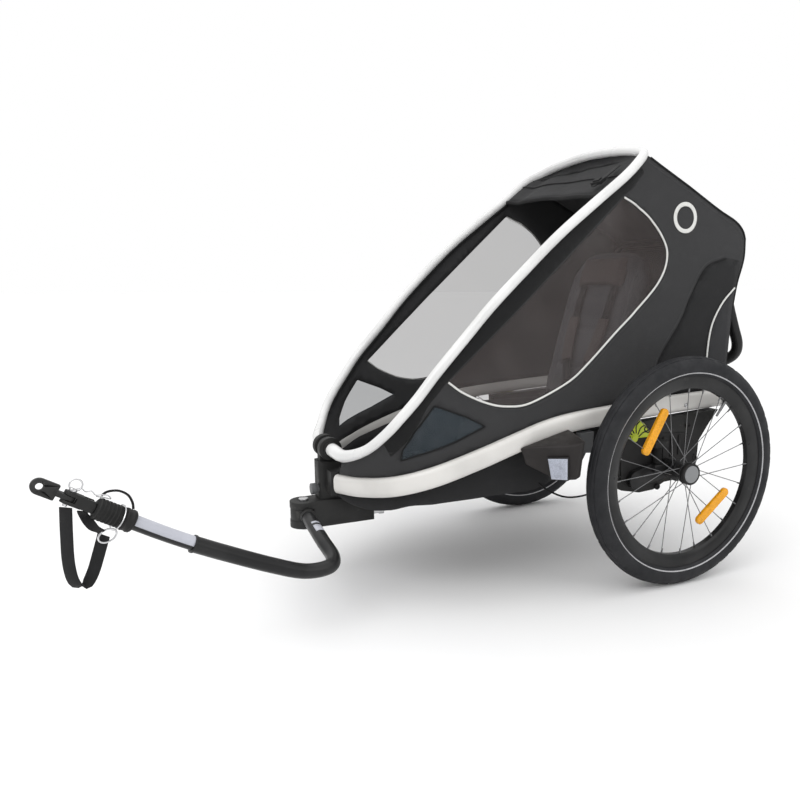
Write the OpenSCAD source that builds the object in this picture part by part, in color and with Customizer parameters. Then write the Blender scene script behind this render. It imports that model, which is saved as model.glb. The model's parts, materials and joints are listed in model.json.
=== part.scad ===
// Child bicycle trailer with one seat. The axle is along X, the tow arm points to -Y, the ground is at z = 0.
// Places are measured from the ground below the middle of the axle, and place() moves them to the origin.

/* [Placement] */
// Distance of the wheel axle behind the origin
axle_y = 472.4; // [460:0.1:480]

/* [Wheels] */
// Outside diameter of the tyres
tyre_d = 500; // [490:1:506]
// Width of the tyres
tyre_w = 45; // [40:1:47]
// Outside diameter of the rims
rim_d = 424; // [416:1:428]
// Distance between the two wheel centre planes
track = 656; // [654:1:670]
// Spokes in each wheel
spoke_count = 24; // [20:4:32]
// Diameter of a spoke
spoke_d = 1.8; // [1.6:0.1:2]
// Diameter of the stub axles
axle_d = 12; // [10:1:12]

/* [Frame] */
// Width of the flat oval side rails
rail_w = 24; // [20:1:26]
// Height of the flat oval side rails
rail_h = 40; // [36:1:44]
// Diameter of the hoop's tube
hoop_d = 20; // [18:1:22]
// Height of the hoop's pivot above the ground
hoop_pivot_z = 307; // [305:1:309]
// Diameter of the tubes across the frame
cross_d = 22; // [18:1:24]
// Half of the distance between the rear frame's legs
rear_leg_x = 178; // [176:1:179]

/* [Tow arm] */
// Diameter of the outer tow tube
arm_d = 28; // [25:1:29]
// Diameter of the inner tow tube
inner_arm_d = 24; // [20:1:24]
// Diameter of the hole in the hitch eye, for the bicycle's axle
eye_d = 10.5; // [10:0.1:11]

/* [Push handle] */
// Diameter of the push handle's tube
handle_d = 26; // [22:1:26]
// Diameter of the foam grip
grip_d = 33; // [30:1:34]

/* [Cabin] */
// Half of the cabin's width over the side fabric
cabin_x = 236; // [232:1:237]
// Thickness of the fabric panels
fabric_t = 4; // [2:0.5:4]

/* [Hidden] */

LEFT = 1;
RIGHT = -1;
RUNNING_GAP = 0.05;
TOUCH_GAP = 0.4;
axle_z = tyre_d / 2;

// Hoop's left half, from the knuckle to the middle of the top bar
hoop_half = [
    [40, -690, 307], [98, -684, 306], [155, -659, 327], [194, -633, 362], [212, -606, 397], [223, -576, 434],
    [229, -540, 480], [231, -480, 545], [236, -424, 607], [241, -355, 674], [243, -280, 742],
    [242, -196, 807], [241, -120, 864], [236, -82, 896], [222, -58, 916], [190, -46, 926], [120, -40, 938],
    [0, -38, 945],
];
rail_points = [
    [55, -686, 239], [118, -657, 243], [190, -612, 257], [234, -548, 279], [251, -463, 307], [254, -380, 333],
    [254, -309, 354], [253, -240, 366], [252, -120, 376], [250, 30, 385], [250, 170, 391],
];
rear_pivot = [0, 170, 391];
rear_frame_points = [
    [rear_leg_x, 172, 404], [rear_leg_x, 176, 480], [rear_leg_x, 182, 640], [rear_leg_x, 190, 712],
    [rear_leg_x - 10, 199, 740], [rear_leg_x - 38, 204, 752], [0, 206, 755],
];
handle_pivot = [204, 216, 648];
handle_points = [
    [204, 218, 632], [204, 232, 592], [204, 250, 548], [204, 266, 508], [196, 266, 482], [172, 252, 464],
    [130, 241, 457], [0, 240, 457],
];
arm_pivot = [0, -746, 170];
arm_points = [
    [42, -747, 169], [90, -749, 164], [150, -748, 152], [205, -746, 139], [234, -763, 133], [243, -810, 136],
    [250, -870, 160], [260, -950, 199], [267, -1000, 225],
];
coupler_start = [281, -1085, 277];
coupler_rise = 32;
coupler_heading = -81.6;
coupler_dir = [
    cos(coupler_rise) * cos(coupler_heading), cos(coupler_rise) * sin(coupler_heading), sin(coupler_rise),
];
collar_s = 8;
inner_arm_points = [
    [266, -990, 220], [274, -1040, 249], coupler_start, coupler_start + collar_s * coupler_dir,
];
flex_pin_s = 78;
hitch_pin_s = 108;
eye_s = 152;
knob_place = [8, -716, 221];
swing_pivot = [0, -88, 232];
dial_place = [0, -91, 322];
tray_half = [[60, -648], [165, -606], [214, -540], [228, -460], [228, 120]];
cable_points = [
    [247, -142, 226], [246, -176, 206], [244, -215, 200], [240, -250, 204], [234, -285, 221],
    [224, -302, 236],
];

// A point on a smooth curve through the points p, at the share t of its stretch i
function spline_point(p, i, t) =
    let (
        a = p[max(i - 1, 0)],
        b = p[i],
        c = p[i + 1],
        d = p[min(i + 2, len(p) - 1)]
    )
    0.5 * (2 * b + (c - a) * t + (2 * a - 5 * b + 4 * c - d) * t * t + (3 * b - a - 3 * c + d) * t * t * t);

function spline(p, steps) = [
    for (i = [0 : len(p) - 2], s = [0 : steps - 1]) spline_point(p, i, s / steps),
    p[len(p) - 1],
];

function unit(v) = v / norm(v);
function tangent(p, i) = unit(p[min(i + 1, len(p) - 1)] - p[max(i - 1, 0)]);
function across(p, i) = unit(cross([0, 0, 1], tangent(p, i)));
function above(p, i) = cross(tangent(p, i), across(p, i));
function ring(p, i, w, h, n) = [
    for (k = [0 : n - 1])
        p[i] + across(p, i) * w / 2 * cos(360 * k / n) + above(p, i) * h / 2 * sin(360 * k / n)
];
// The left half of a path, then its mirror image
function both_halves(half) = concat(
    half, [for (i = [len(half) - 2 : -1 : 0]) [-half[i].x, half[i].y, half[i].z]]
);

// A tube of oval section, w by h, along a path that is never upright
module tube(path, w, h, sides = 12) {
    last = len(path) - 1;
    points = [for (i = [0 : last]) each ring(path, i, w, h, sides)];
    wall = [
        for (i = [0 : last - 1], k = [0 : sides - 1])
            let (next = (k + 1) % sides)
            [i * sides + k, (i + 1) * sides + k, (i + 1) * sides + next, i * sides + next]
    ];
    start_cap = [for (k = [0 : sides - 1]) k];
    end_cap = [for (k = [sides - 1 : -1 : 0]) last * sides + k];
    polyhedron(points, concat([start_cap], wall, [end_cap]), convexity = 10);
}

// A straight round rod between two points
module rod(a, b, r) {
    d = b - a;
    translate(a) rotate([0, acos(d.z / norm(d)), atan2(d.y, d.x)]) cylinder(r = r, h = norm(d), $fn = 16);
}

// A rod along X, from x1 to x2, at y and z
module x_rod(x1, x2, y, z, r) translate([x1, y, z]) rotate([0, 90, 0]) cylinder(r = r, h = x2 - x1, $fn = 48);

// An outline in Y and Z, made t thick from x towards +X
module side_plate(x, t) translate([x, 0, 0]) rotate([90, 0, 90]) linear_extrude(t) children();

module place() translate([0, axle_y, 0]) children();

module sided(side) {
    if (side == LEFT) place() children();
    else mirror([1, 0, 0]) place() children();
}

// Stands children, drawn around Z, on a wheel's axle, with +Z pointing away from the cabin
module at_wheel(side) sided(side) translate([track / 2, 0, axle_z]) rotate([0, 90, 0]) children();

// Stands children on the coupler's line, s from its start, with +Z along it and +Y across the trailer
module at_coupler(s)
    place() translate(coupler_start + s * coupler_dir)
        rotate([0, 90 - coupler_rise, coupler_heading]) children();

// ---- Chassis ----

module side_rail(side) color("#e4e2de") sided(side) tube(spline(rail_points, 3), rail_w, rail_h, 16);

module rail_end_caps() color("#b9bbbd") for (side = [LEFT, RIGHT]) sided(side) difference() {
    translate([rail_points[10].x - rail_w / 2, 170, 371]) cube([rail_w, 11, rail_h]);
    x_rod(230, 240 + TOUCH_GAP, rear_pivot.y, rear_pivot.z, 10 + TOUCH_GAP);
}

module nose_casting() color("#262626") place() difference() {
    union() {
        translate([0, 0, 198]) linear_extrude(82) {
            translate([-22, -706]) square([44, 34]);
            translate([-12, -706]) circle(r = 10, $fn = 32);
            translate([12, -706]) circle(r = 10, $fn = 32);
            translate([-12, -716]) square([24, 20]);
        }
        side_plate(-9.6, 19.2) {
            translate([-691, hoop_pivot_z]) circle(r = 19, $fn = 48);
            translate([-710, 270]) square([38, 37]);
        }
        translate([-54, -700, 214]) cube([108, 30, 50]);
    }
    x_rod(-30, 30, -691, hoop_pivot_z, 5);
    translate([knob_place.x, -717, knob_place.z]) rotate([-90, 0, 0]) cylinder(r = 9.1, h = 12, $fn = 48);
}

module drawbar_base() color("#1d1d1e") place() difference() {
    union() {
        side_plate(-27, 54)
            polygon([
                [-742, 141], [-742, 197], [-734, 197], [-716, 198], [-672, 198], [-640, 178], [-597, 164],
                [-597, 141],
            ]);
        translate([0, arm_pivot.y, 141]) cylinder(r = 29, h = 56, $fn = 64);
    }
    translate([0, arm_pivot.y, 157.5]) cylinder(r = 31, h = 25, $fn = 64);
    translate([0, arm_pivot.y, 140]) cylinder(r = 6, h = 60, $fn = 48);
}

module pivot_bolts() color("#a9abad") place() {
    x_rod(-31, 31, -691, hoop_pivot_z, 5);
    translate([0, arm_pivot.y, 138]) cylinder(r = 6, h = 59, $fn = 48);
    translate([0, arm_pivot.y, 197]) cylinder(r = 10, h = 4, $fn = 48);
    translate([0, arm_pivot.y, 134]) cylinder(r = 10, h = 7, $fn = 48);
    translate([12, -597, 155]) rotate([-90, 0, 0]) cylinder(r = 6, h = 16, $fn = 32);
    translate([12, -581, 155]) rotate([-90, 0, 0]) cylinder(r = 8, h = 10, $fn = 32);
}

module axle_beam() color("#3a3a3c") place() x_rod(-240, 240, 40, 288, cross_d / 2);

module rear_cross_tube() color("#3a3a3c") place()
    x_rod(-240, 240, rear_pivot.y, rear_pivot.z, 10);

// The tray's outline from above, with its walls moved in by gap
module tray_plan(gap) polygon([
    for (side = [LEFT, RIGHT], i = [0 : 4])
        let (p = tray_half[side == LEFT ? i : 4 - i], inward = p.y > 0 ? -gap : p.y < -600 ? gap : 0)
        [side * (p.x - gap), p.y + inward]
]);

module floor_tray() color("#2a2a2c") place() difference() {
    intersection() {
        side_plate(-228, 456)
            polygon([
                [-660, 250], [-610, 226], [-560, 220], [-300, 220], [-255, 300], [124, 300], [124, 340],
                [-255, 340], [-310, 316], [-560, 286], [-660, 270],
            ]);
        translate([0, 0, 200]) linear_extrude(200) tray_plan(0);
    }
    intersection() {
        side_plate(-228, 456)
            polygon([
                [-664, 257], [-606, 230], [-558, 224], [-302, 224], [-257, 304], [130, 304], [130, 400],
                [-664, 400],
            ]);
        translate([0, 0, 200]) linear_extrude(200) tray_plan(4);
    }
}

module wheel_guard(side) color("#2b2a2a") sided(side) intersection() {
    translate([0, 0, 255]) linear_extrude(110)
        polygon([[267, -376], [336, -303], [344, -294], [345, -281], [338, -268], [267, -256]]);
    side_plate(260, 92)
        polygon([[-378, 326], [-360, 290], [-326, 268], [-296, 264], [-262, 276], [-250, 300], [-250, 352]]);
}

module front_reflectors() color("#d9dde0") for (side = [LEFT, RIGHT])
    sided(side) translate([315, -324, 269]) rotate([0, 0, 46]) translate([-16, -5, 0]) cube([32, 5, 44]);

module suspension_housing(side) color("#1c1c1d") sided(side) difference() {
    union() {
        side_plate(240, 30)
            polygon([
                [-150, 350], [-140, 222], [-118, 208], [-98, 204], [-70, 198], [-30, 200], [0, 214],
                [42, 216], [92, 246], [96, 300], [126, 340], [150, 367], [0, 358],
            ]);
        translate([262, -52, 300]) cube([34, 36, 14]);
    }
    x_rod(243, 271, swing_pivot.y, swing_pivot.z, 8 + RUNNING_GAP);
    x_rod(255, 271, dial_place.y, dial_place.z, 5 + RUNNING_GAP);
}

module spring(side) color("#6d6f72") sided(side)
    translate([283, -34, 262]) cylinder(r = 12, h = 38, $fn = 48);

module brake_cable() color("#151515") place() tube(spline(cable_points, 3), 4, 4, 8);

module load_dial(side) color("#b5c21f") sided(side) {
    x_rod(256, 271, dial_place.y, dial_place.z, 5);
    translate([270 + TOUCH_GAP, dial_place.y, dial_place.z]) rotate([0, 90, 0]) {
        cylinder(r = 8, h = 5, $fn = 48);
        rotate([0, 0, 90]) rotate_extrude(angle = 180, $fn = 64) square([39, 3]);
    }
}

module swing_arm(side) color("#2c2d2f") sided(side) {
    x_rod(244, 274, swing_pivot.y, swing_pivot.z, 8);
    x_rod(273, 286, swing_pivot.y, swing_pivot.z, 20);
    x_rod(273, 292, 0, axle_z, 19);
    side_plate(273, 12) polygon([[-90, 214], [-88, 252], [-56, 262], [-14, 262], [4, 268], [6, 232]]);
    translate([271, -50, 246]) cube([24, 36, 16]);
    x_rod(290, track / 2 + 15.9, 0, axle_z, axle_d / 2);
}

// ---- Wheels ----

module tyre(side) color("#232323") at_wheel(side) rotate_extrude($fn = 128) difference() {
    translate([(tyre_d - tyre_w) / 2, 0]) circle(d = tyre_w, $fn = 48);
    translate([(tyre_d - tyre_w) / 2, 0]) circle(d = tyre_w - 8, $fn = 48);
    translate([0, -tyre_w]) square([rim_d / 2, 2 * tyre_w]);
}

module rim_section() difference() {
    polygon([
        [-30, -8], [-30, 8], [-22, 12.5], [0, 12.5], [0, 10.5], [-12, 10.5], [-15, 7], [-15, -7],
        [-12, -10.5], [0, -10.5], [0, -12.5], [-22, -12.5],
    ]);
    polygon([
        [-28, -7], [-28, 7], [-21, 10.3], [-14, 10.3], [-17, 7], [-17, -7], [-14, -10.3], [-21, -10.3],
    ]);
}

module rim(side) color("#1a1a1a") at_wheel(side)
    rotate_extrude($fn = 128) translate([rim_d / 2, 0]) rim_section();

module spoke(i) {
    flange = i % 2 == 0 ? 1 : -1;
    lean = floor(i / 2) % 2 == 0 ? 1 : -1;
    hub_z = (flange == 1 ? 11 : -17) + 1.6 * lean;
    hub_a = 360 * i / spoke_count + 38 * lean;
    rim_a = 360 * i / spoke_count;
    rod(
        [20 * cos(hub_a), 20 * sin(hub_a), hub_z],
        [(rim_d / 2 - 29) * cos(rim_a), (rim_d / 2 - 29) * sin(rim_a), 3 * flange],
        spoke_d / 2
    );
}

module spokes(side) color("#9a9da0") at_wheel(side) for (i = [0 : spoke_count - 1]) spoke(i);

module hub(side) color("#303132") at_wheel(side) difference() {
    union() {
        translate([0, 0, -22]) cylinder(r = 16, h = 38, $fn = 64);
        for (z = [-19, 9]) translate([0, 0, z]) cylinder(r = 24, h = 4, $fn = 64);
    }
    translate([0, 0, -23]) cylinder(r = axle_d / 2 + RUNNING_GAP, h = 40, $fn = 48);
}

module hub_cap(side) color("#141414") at_wheel(side) difference() {
    translate([0, 0, 16]) cylinder(r = 23.5, h = 9, $fn = 64);
    translate([0, 0, 18]) cylinder(r = 18.6, h = 8, $fn = 64);
    translate([0, 0, 15]) cylinder(r = 9, h = 4, $fn = 48);
}

module release_button(side) color("#8b8e91") at_wheel(side)
    translate([0, 0, 20.5]) cylinder(r = 18.5, h = 5, $fn = 64);

module wheel_reflectors(side) color("#e8920c") at_wheel(side)
    for (r = [[222.5, 18, 131], [44.5, -6, 120]])
        rotate([0, 0, r[0]]) translate([r[2], 0, 1.5]) rotate([0, 0, r[1]])
            translate([-10, -53, 0]) cube([20, 106, 7]);

// ---- Folding hoop and cabin ----

module front_hoop() color("#f2f2f0") place() {
    tube(spline(both_halves(hoop_half), 3), hoop_d, hoop_d, 12);
    for (x = [-60, 34]) x_rod(x, x + 26, -690, hoop_pivot_z, 14);
}

module hoop_knuckle() color("#262626") place() difference() {
    union() {
        for (x = [-27, 10]) x_rod(x, x + 17, -691, hoop_pivot_z, 24);
        for (x = [-34, 27]) x_rod(x, x + 7, -691, hoop_pivot_z, 16);
    }
    x_rod(-32, 32, -691, hoop_pivot_z, 5 + RUNNING_GAP);
}

module visor() color("#38383a") place() side_plate(-216, 432)
    polygon([[-176, 820], [-172, 814], [-90, 884], [-66, 905], [-70, 911]]);

// The side window's outline, in Y and Z
module window_outline() polygon([
    [-515, 462], [-485, 440], [-434, 417], [-388, 408], [-337, 412], [-250, 448], [-200, 484], [-130, 547],
    [-50, 615], [-8, 665], [6, 712], [-10, 750], [-45, 786], [-80, 808], [-118, 824],
]);

module side_panel(side) color("#3d3d3f") sided(side) side_plate(cabin_x - fabric_t, fabric_t) difference() {
    polygon([
        [-562, 424], [-610, 330], [-600, 305], [-560, 312], [-500, 326], [-380, 370], [-240, 398], [0, 412],
        [180, 416], [200, 500], [202, 640], [232, 730], [214, 768], [-40, 892], [-72, 887], [-113, 854],
        [-189, 797], [-272, 733], [-347, 665], [-415, 599], [-471, 537], [-531, 472],
    ]);
    window_outline();
}

module side_windows() color([0.25, 0.2, 0.19, 0.6]) for (side = [LEFT, RIGHT])
    sided(side) side_plate(cabin_x - 3, 1.5) window_outline();

module roof_panel() color("#444446") place() side_plate(-cabin_x + fabric_t + 1, 2 * (cabin_x - fabric_t - 1))
    polygon([[-42, 909], [-42, 905], [210, 772], [222, 752], [226, 755], [214, 776]]);

module rear_frame() color("#303032") place() {
    tube(spline(both_halves(rear_frame_points), 3), 18, 18, 12);
    for (x = [-rear_leg_x - 9, rear_leg_x - 9]) difference() {
        x_rod(x, x + 18, rear_pivot.y, rear_pivot.z, 16);
        x_rod(x - 1, x + 19, rear_pivot.y, rear_pivot.z, 10 + RUNNING_GAP);
    }
}

module rear_panel() color("#39393b") place() side_plate(-rear_leg_x + 14, 2 * (rear_leg_x - 14))
    polygon([[174, 424], [184, 560], [188, 640], [196, 730], [200, 730], [192, 640], [188, 560], [178, 424]]);

module handle_knobs() color("#1b1b1c") for (side = [LEFT, RIGHT]) sided(side) {
    side_plate(rear_leg_x + 9, 3) polygon([[176, 630], [176, 668], [218, 664], [228, 648], [218, 634]]);
    x_rod(rear_leg_x + 11, rear_leg_x + 42, handle_pivot.y, handle_pivot.z, 6);
}

module push_handle() color("#1b1b1c") place() {
    tube(spline(both_halves(handle_points), 3), handle_d, handle_d, 12);
    for (side = [LEFT, RIGHT]) translate([side * handle_pivot.x - 8, 0, 0]) difference() {
        x_rod(0, 16, handle_pivot.y, handle_pivot.z, 17);
        x_rod(-1, 17, handle_pivot.y, handle_pivot.z, 6 + RUNNING_GAP);
    }
}

module handle_grip() color("#141415") place() difference() {
    x_rod(-110, 110, 240, 457, grip_d / 2);
    x_rod(-111, 111, 240, 457, handle_d / 2 + 0.5);
}

// ---- Seat ----

module seat_cushion() color("#434448") place() translate([-165, -250, 306]) cube([330, 210, 34]);

module seat_back() color("#434448") place() side_plate(-160, 320)
    polygon([[-34, 345], [-70, 356], [40, 742], [76, 730]]);

module harness() color("#1e1e1f") place() {
    for (x = [-70, 45]) side_plate(x, 25) polygon([[-75, 380], [-79, 381], [6, 680], [10, 679]]);
    translate([-22, -86, 372]) cube([44, 12, 46]);
    translate([-12, -90, 341]) cube([24, 6, 30]);
}

// ---- Tow arm ----

module release_knob() color("#6b6c6e") place()
    translate([knob_place.x, -731, knob_place.z]) rotate([-90, 0, 0]) {
        cylinder(r = 9, h = 20, $fn = 48);
        cylinder(r = 12, h = 9, $fn = 48);
    }

module arm_knuckle() color("#242425") place() difference() {
    union() {
        translate([0, arm_pivot.y, 158]) cylinder(r = 28, h = 24, $fn = 64);
        x_rod(15, 33, arm_pivot.y, arm_pivot.z, 12);
        x_rod(32, 43, arm_pivot.y, arm_pivot.z, 16);
    }
    translate([0, arm_pivot.y, 150]) cylinder(r = 6 + RUNNING_GAP, h = 40, $fn = 48);
}

module tow_arm() color("#222223") place() tube(spline(arm_points, 3), arm_d, arm_d, 14);

module inner_tow_arm() color("#1e1e1f") place()
    tube(spline(inner_arm_points, 3), inner_arm_d, inner_arm_d, 14);

module arm_collar() color("#1a1a1a") at_coupler(collar_s) cylinder(r = 18, h = 16, $fn = 48);

module flex_coupler() color("#202020") at_coupler(0) difference() {
    union() {
        translate([0, 0, 24]) cylinder(r = 16.5, h = 42, $fn = 48);
        translate([-8, -5, 66]) cube([16, 10, flex_pin_s - 66]);
        translate([0, 5, flex_pin_s]) rotate([90, 0, 0]) cylinder(r = 8, h = 10, $fn = 48);
    }
    translate([0, 6, flex_pin_s]) rotate([90, 0, 0]) cylinder(r = 3 + RUNNING_GAP, h = 12, $fn = 48);
}

module safety_strap() color("#191919") place() side_plate(292, 3)
    polygon([
        [-1192, 318], [-1193, 250], [-1190, 210], [-1180, 192], [-1168, 188], [-1156, 196], [-1140, 232],
        [-1122, 274], [-1140, 270], [-1150, 244], [-1168, 210], [-1176, 250], [-1176, 318],
    ]);

module hitch_clevis() color("#232323") at_coupler(0) {
    difference() {
        union() {
            for (y = [-10, 5 + TOUCH_GAP]) translate([-9, y, flex_pin_s - 6])
                cube([18, 5 - TOUCH_GAP, 18]);
            for (y = [-10, 5 + TOUCH_GAP]) translate([0, y + 4.6, flex_pin_s])
                rotate([90, 0, 0]) cylinder(r = 9, h = 4.6, $fn = 48);
            translate([-9.5, -10, 88]) cube([19, 20, 10]);
            for (x = [-9.5, 4 + TOUCH_GAP]) translate([x, -10, 96]) cube([9.5 - 4 - TOUCH_GAP, 20, 12]);
            for (x = [-9.5, 4 + TOUCH_GAP]) translate([x, 0, hitch_pin_s])
                rotate([0, 90, 0]) cylinder(r = 10, h = 9.5 - 4 - TOUCH_GAP, $fn = 48);
        }
        translate([-11, 0, hitch_pin_s]) rotate([0, 90, 0]) cylinder(r = 3.5 + RUNNING_GAP, h = 22, $fn = 48);
    }
    translate([0, 10, flex_pin_s]) rotate([90, 0, 0]) cylinder(r = 3, h = 20, $fn = 48);
}

module hitch_link() color("#2a2a2a") at_coupler(0) difference() {
    union() {
        translate([-4, 0, hitch_pin_s]) rotate([0, 90, 0]) cylinder(r = 9, h = 8, $fn = 48);
        translate([-4, -9, hitch_pin_s]) cube([8, 18, 20]);
        translate([-12.5, -4, 126]) cube([25, 8, eye_s - 126]);
        translate([0, 4, eye_s]) rotate([90, 0, 0]) cylinder(r = 12.5, h = 8, $fn = 64);
    }
    translate([-5, 0, hitch_pin_s]) rotate([0, 90, 0]) cylinder(r = 3.5 + RUNNING_GAP, h = 10, $fn = 48);
    translate([0, 5, eye_s]) rotate([90, 0, 0]) cylinder(r = eye_d / 2, h = 10, $fn = 64);
}

module hitch_pin() color("#b4b6b8") at_coupler(hitch_pin_s) {
    translate([-11, 0, 0]) rotate([0, 90, 0]) cylinder(r = 3.5, h = 25, $fn = 48);
    translate([-15, 0, 0]) rotate([0, 90, 0]) cylinder(r = 6, h = 4.5, $fn = 48);
    translate([-21, 0, 0]) rotate([90, 0, 0])
        rotate_extrude($fn = 48) translate([9, 0]) circle(r = 1.2, $fn = 16);
}

side_rail(LEFT);  // side_rail_left
side_rail(RIGHT);  // side_rail_right
rail_end_caps();
nose_casting();
drawbar_base();
pivot_bolts();
axle_beam();
rear_cross_tube();
floor_tray();
wheel_guard(LEFT);  // wheel_guard_left
wheel_guard(RIGHT);  // wheel_guard_right
front_reflectors();
suspension_housing(LEFT);  // suspension_housing_left
suspension_housing(RIGHT);  // suspension_housing_right
spring(LEFT);  // spring_left
spring(RIGHT);  // spring_right
brake_cable();
seat_cushion();
seat_back();
harness();
release_knob();
load_dial(LEFT);  // load_dial_left
load_dial(RIGHT);  // load_dial_right
swing_arm(LEFT);  // swing_arm_left
swing_arm(RIGHT);  // swing_arm_right
tyre(LEFT);  // tyre_left
tyre(RIGHT);  // tyre_right
rim(LEFT);  // rim_left
rim(RIGHT);  // rim_right
spokes(LEFT);  // spokes_left
spokes(RIGHT);  // spokes_right
hub(LEFT);  // hub_left
hub(RIGHT);  // hub_right
hub_cap(LEFT);  // hub_cap_left
hub_cap(RIGHT);  // hub_cap_right
release_button(LEFT);  // release_button_left
release_button(RIGHT);  // release_button_right
wheel_reflectors(LEFT);  // wheel_reflectors_left
wheel_reflectors(RIGHT);  // wheel_reflectors_right
front_hoop();
hoop_knuckle();
visor();
roof_panel();
side_panel(LEFT);  // side_panel_left
side_panel(RIGHT);  // side_panel_right
side_windows();
rear_frame();
rear_panel();
handle_knobs();
push_handle();
handle_grip();
arm_knuckle();
tow_arm();
inner_tow_arm();
arm_collar();
flex_coupler();
safety_strap();
hitch_clevis();
hitch_link();
hitch_pin();
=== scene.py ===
"""The looks of the child bicycle trailer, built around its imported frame.

Lengths are millimetres and places are (x, y, z) from the ground below the middle of the wheels' axle, as in
the CAD source, until mesh_of() turns them into the frame's metres. +X is the trailer's left, -Y is forward.
"""

import json
import math

import bmesh
import bpy
import numpy as np
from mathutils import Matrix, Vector
from mathutils.geometry import delaunay_2d_cdt


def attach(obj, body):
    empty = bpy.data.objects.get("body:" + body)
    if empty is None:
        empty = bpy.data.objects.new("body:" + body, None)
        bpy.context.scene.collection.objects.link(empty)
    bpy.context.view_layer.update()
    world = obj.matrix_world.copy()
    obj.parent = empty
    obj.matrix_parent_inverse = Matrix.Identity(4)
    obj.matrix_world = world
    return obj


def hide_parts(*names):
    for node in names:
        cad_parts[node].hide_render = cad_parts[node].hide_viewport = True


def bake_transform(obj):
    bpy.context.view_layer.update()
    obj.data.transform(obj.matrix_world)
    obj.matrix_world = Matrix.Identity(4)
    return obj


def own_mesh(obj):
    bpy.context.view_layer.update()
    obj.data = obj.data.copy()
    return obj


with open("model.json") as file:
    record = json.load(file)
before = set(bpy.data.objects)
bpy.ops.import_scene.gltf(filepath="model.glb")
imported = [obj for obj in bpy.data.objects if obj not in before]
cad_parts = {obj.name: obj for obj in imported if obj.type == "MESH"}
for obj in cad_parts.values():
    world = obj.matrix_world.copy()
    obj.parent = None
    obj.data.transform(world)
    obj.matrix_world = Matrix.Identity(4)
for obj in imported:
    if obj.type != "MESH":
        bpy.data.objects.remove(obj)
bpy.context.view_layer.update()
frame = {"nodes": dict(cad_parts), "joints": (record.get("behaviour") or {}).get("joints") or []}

MM = 0.001
JOINTS = {j["name"]: j for j in frame["joints"]}
AXLE_Y = JOINTS["wheel_left_spin"]["pos_m"][1] / MM
AXLE_Z = JOINTS["wheel_left_spin"]["pos_m"][2] / MM
LEFT, RIGHT = 1, -1
SIDES = ((LEFT, "left"), (RIGHT, "right"))
X, Z = np.eye(3)[[0, 2]]
CORNERS = ((-1, -1), (1, -1), (1, 1), (-1, 1))

# ---- Main lines of the frame, as in the CAD source ----

HOOP_HALF = [
    [34, -690, 307], [98, -684, 306], [155, -659, 327], [194, -633, 362], [212, -606, 397], [223, -576, 434],
    [229, -540, 480], [231, -480, 545], [236, -424, 607], [241, -355, 674], [243, -280, 742],
    [242, -196, 807], [241, -120, 864], [236, -82, 896], [222, -58, 916], [190, -46, 926], [120, -40, 938],
    [0, -38, 945],
]
RAIL_POINTS = [
    [55, -686, 239], [118, -657, 243], [190, -612, 257], [234, -548, 279], [251, -463, 307], [254, -380, 333],
    [254, -309, 354], [253, -240, 366], [252, -120, 376], [250, 30, 385], [250, 170, 391],
]
REAR_FRAME_POINTS = [
    [178, 172, 404], [178, 176, 480], [178, 182, 640], [178, 190, 712], [168, 199, 740], [140, 204, 752],
    [0, 206, 755],
]
HANDLE_POINTS = [
    [204, 218, 632], [204, 232, 592], [204, 250, 548], [204, 266, 508], [196, 266, 482], [172, 252, 464],
    [130, 241, 457], [0, 240, 457],
]
ARM_POINTS = [
    [42, -747, 169], [90, -749, 164], [150, -748, 152], [205, -746, 139], [234, -763, 133], [243, -810, 136],
    [250, -870, 160], [260, -950, 199], [267, -1000, 225],
]
INNER_ARM_POINTS = [[266, -990, 220], [274, -1040, 249], [281, -1085, 277], [282, -1091.7, 281.2]]
COUPLER_START = np.array([281, -1085, 277.0])
COUPLER_RISE, COUPLER_HEADING = math.radians(32), math.radians(-81.6)
COUPLER_DIR = np.array([
    math.cos(COUPLER_RISE) * math.cos(COUPLER_HEADING), math.cos(COUPLER_RISE) * math.sin(COUPLER_HEADING),
    math.sin(COUPLER_RISE),
])
HOOP_D, RAIL_W, RAIL_H, ARM_D, INNER_ARM_D, HANDLE_D = 20, 24, 40, 28, 24, 26
TYRE_D, TYRE_W, TRACK = 500, 45, 656
HOOP_PIVOT = np.array([0, -691, 307.0])

# ---- Curves and forms ----


def smooth_path(points, steps=8):
    """Points along a smooth curve through the given ones."""
    p = np.array(points, float)
    p = np.vstack([2 * p[0] - p[1], p, 2 * p[-1] - p[-2]])
    t = np.linspace(0, 1, steps, endpoint=False)[:, None]
    stretches = [
        0.5 * (2 * b + (c - a) * t + (2 * a - 5 * b + 4 * c - d) * t**2 + (3 * b - a - 3 * c + d) * t**3)
        for a, b, c, d in zip(p, p[1:], p[2:], p[3:])
    ]
    return np.vstack([*stretches, p[-2:-1]])


def both_halves(half):
    """A path's left half, then its mirror image."""
    half = np.array(half, float)
    return np.vstack([half, half[-2::-1] * [-1, 1, 1]])


def distances(path):
    return np.r_[0, np.cumsum(np.linalg.norm(np.diff(path, axis=0), axis=1))]


def even(path, spacing):
    """The path with its points the same distance apart."""
    path = np.array(path, float)
    d = distances(path)
    t = np.linspace(0, d[-1], max(2, round(d[-1] / spacing) + 1))
    return np.column_stack([np.interp(t, d, column) for column in path.T])


def loop(outline, spacing):
    """A closed outline with its points the same distance apart, without repeating the first."""
    outline = np.array(outline, float)
    return even(np.vstack([outline, outline[:1]]), spacing)[:-1]


def unit(v):
    return np.array(v, float) / np.linalg.norm(v)


def circle(r, n=24, ry=None):
    a = np.linspace(0, 2 * math.pi, n, endpoint=False)
    return np.column_stack([r * np.cos(a), (ry or r) * np.sin(a)])


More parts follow.
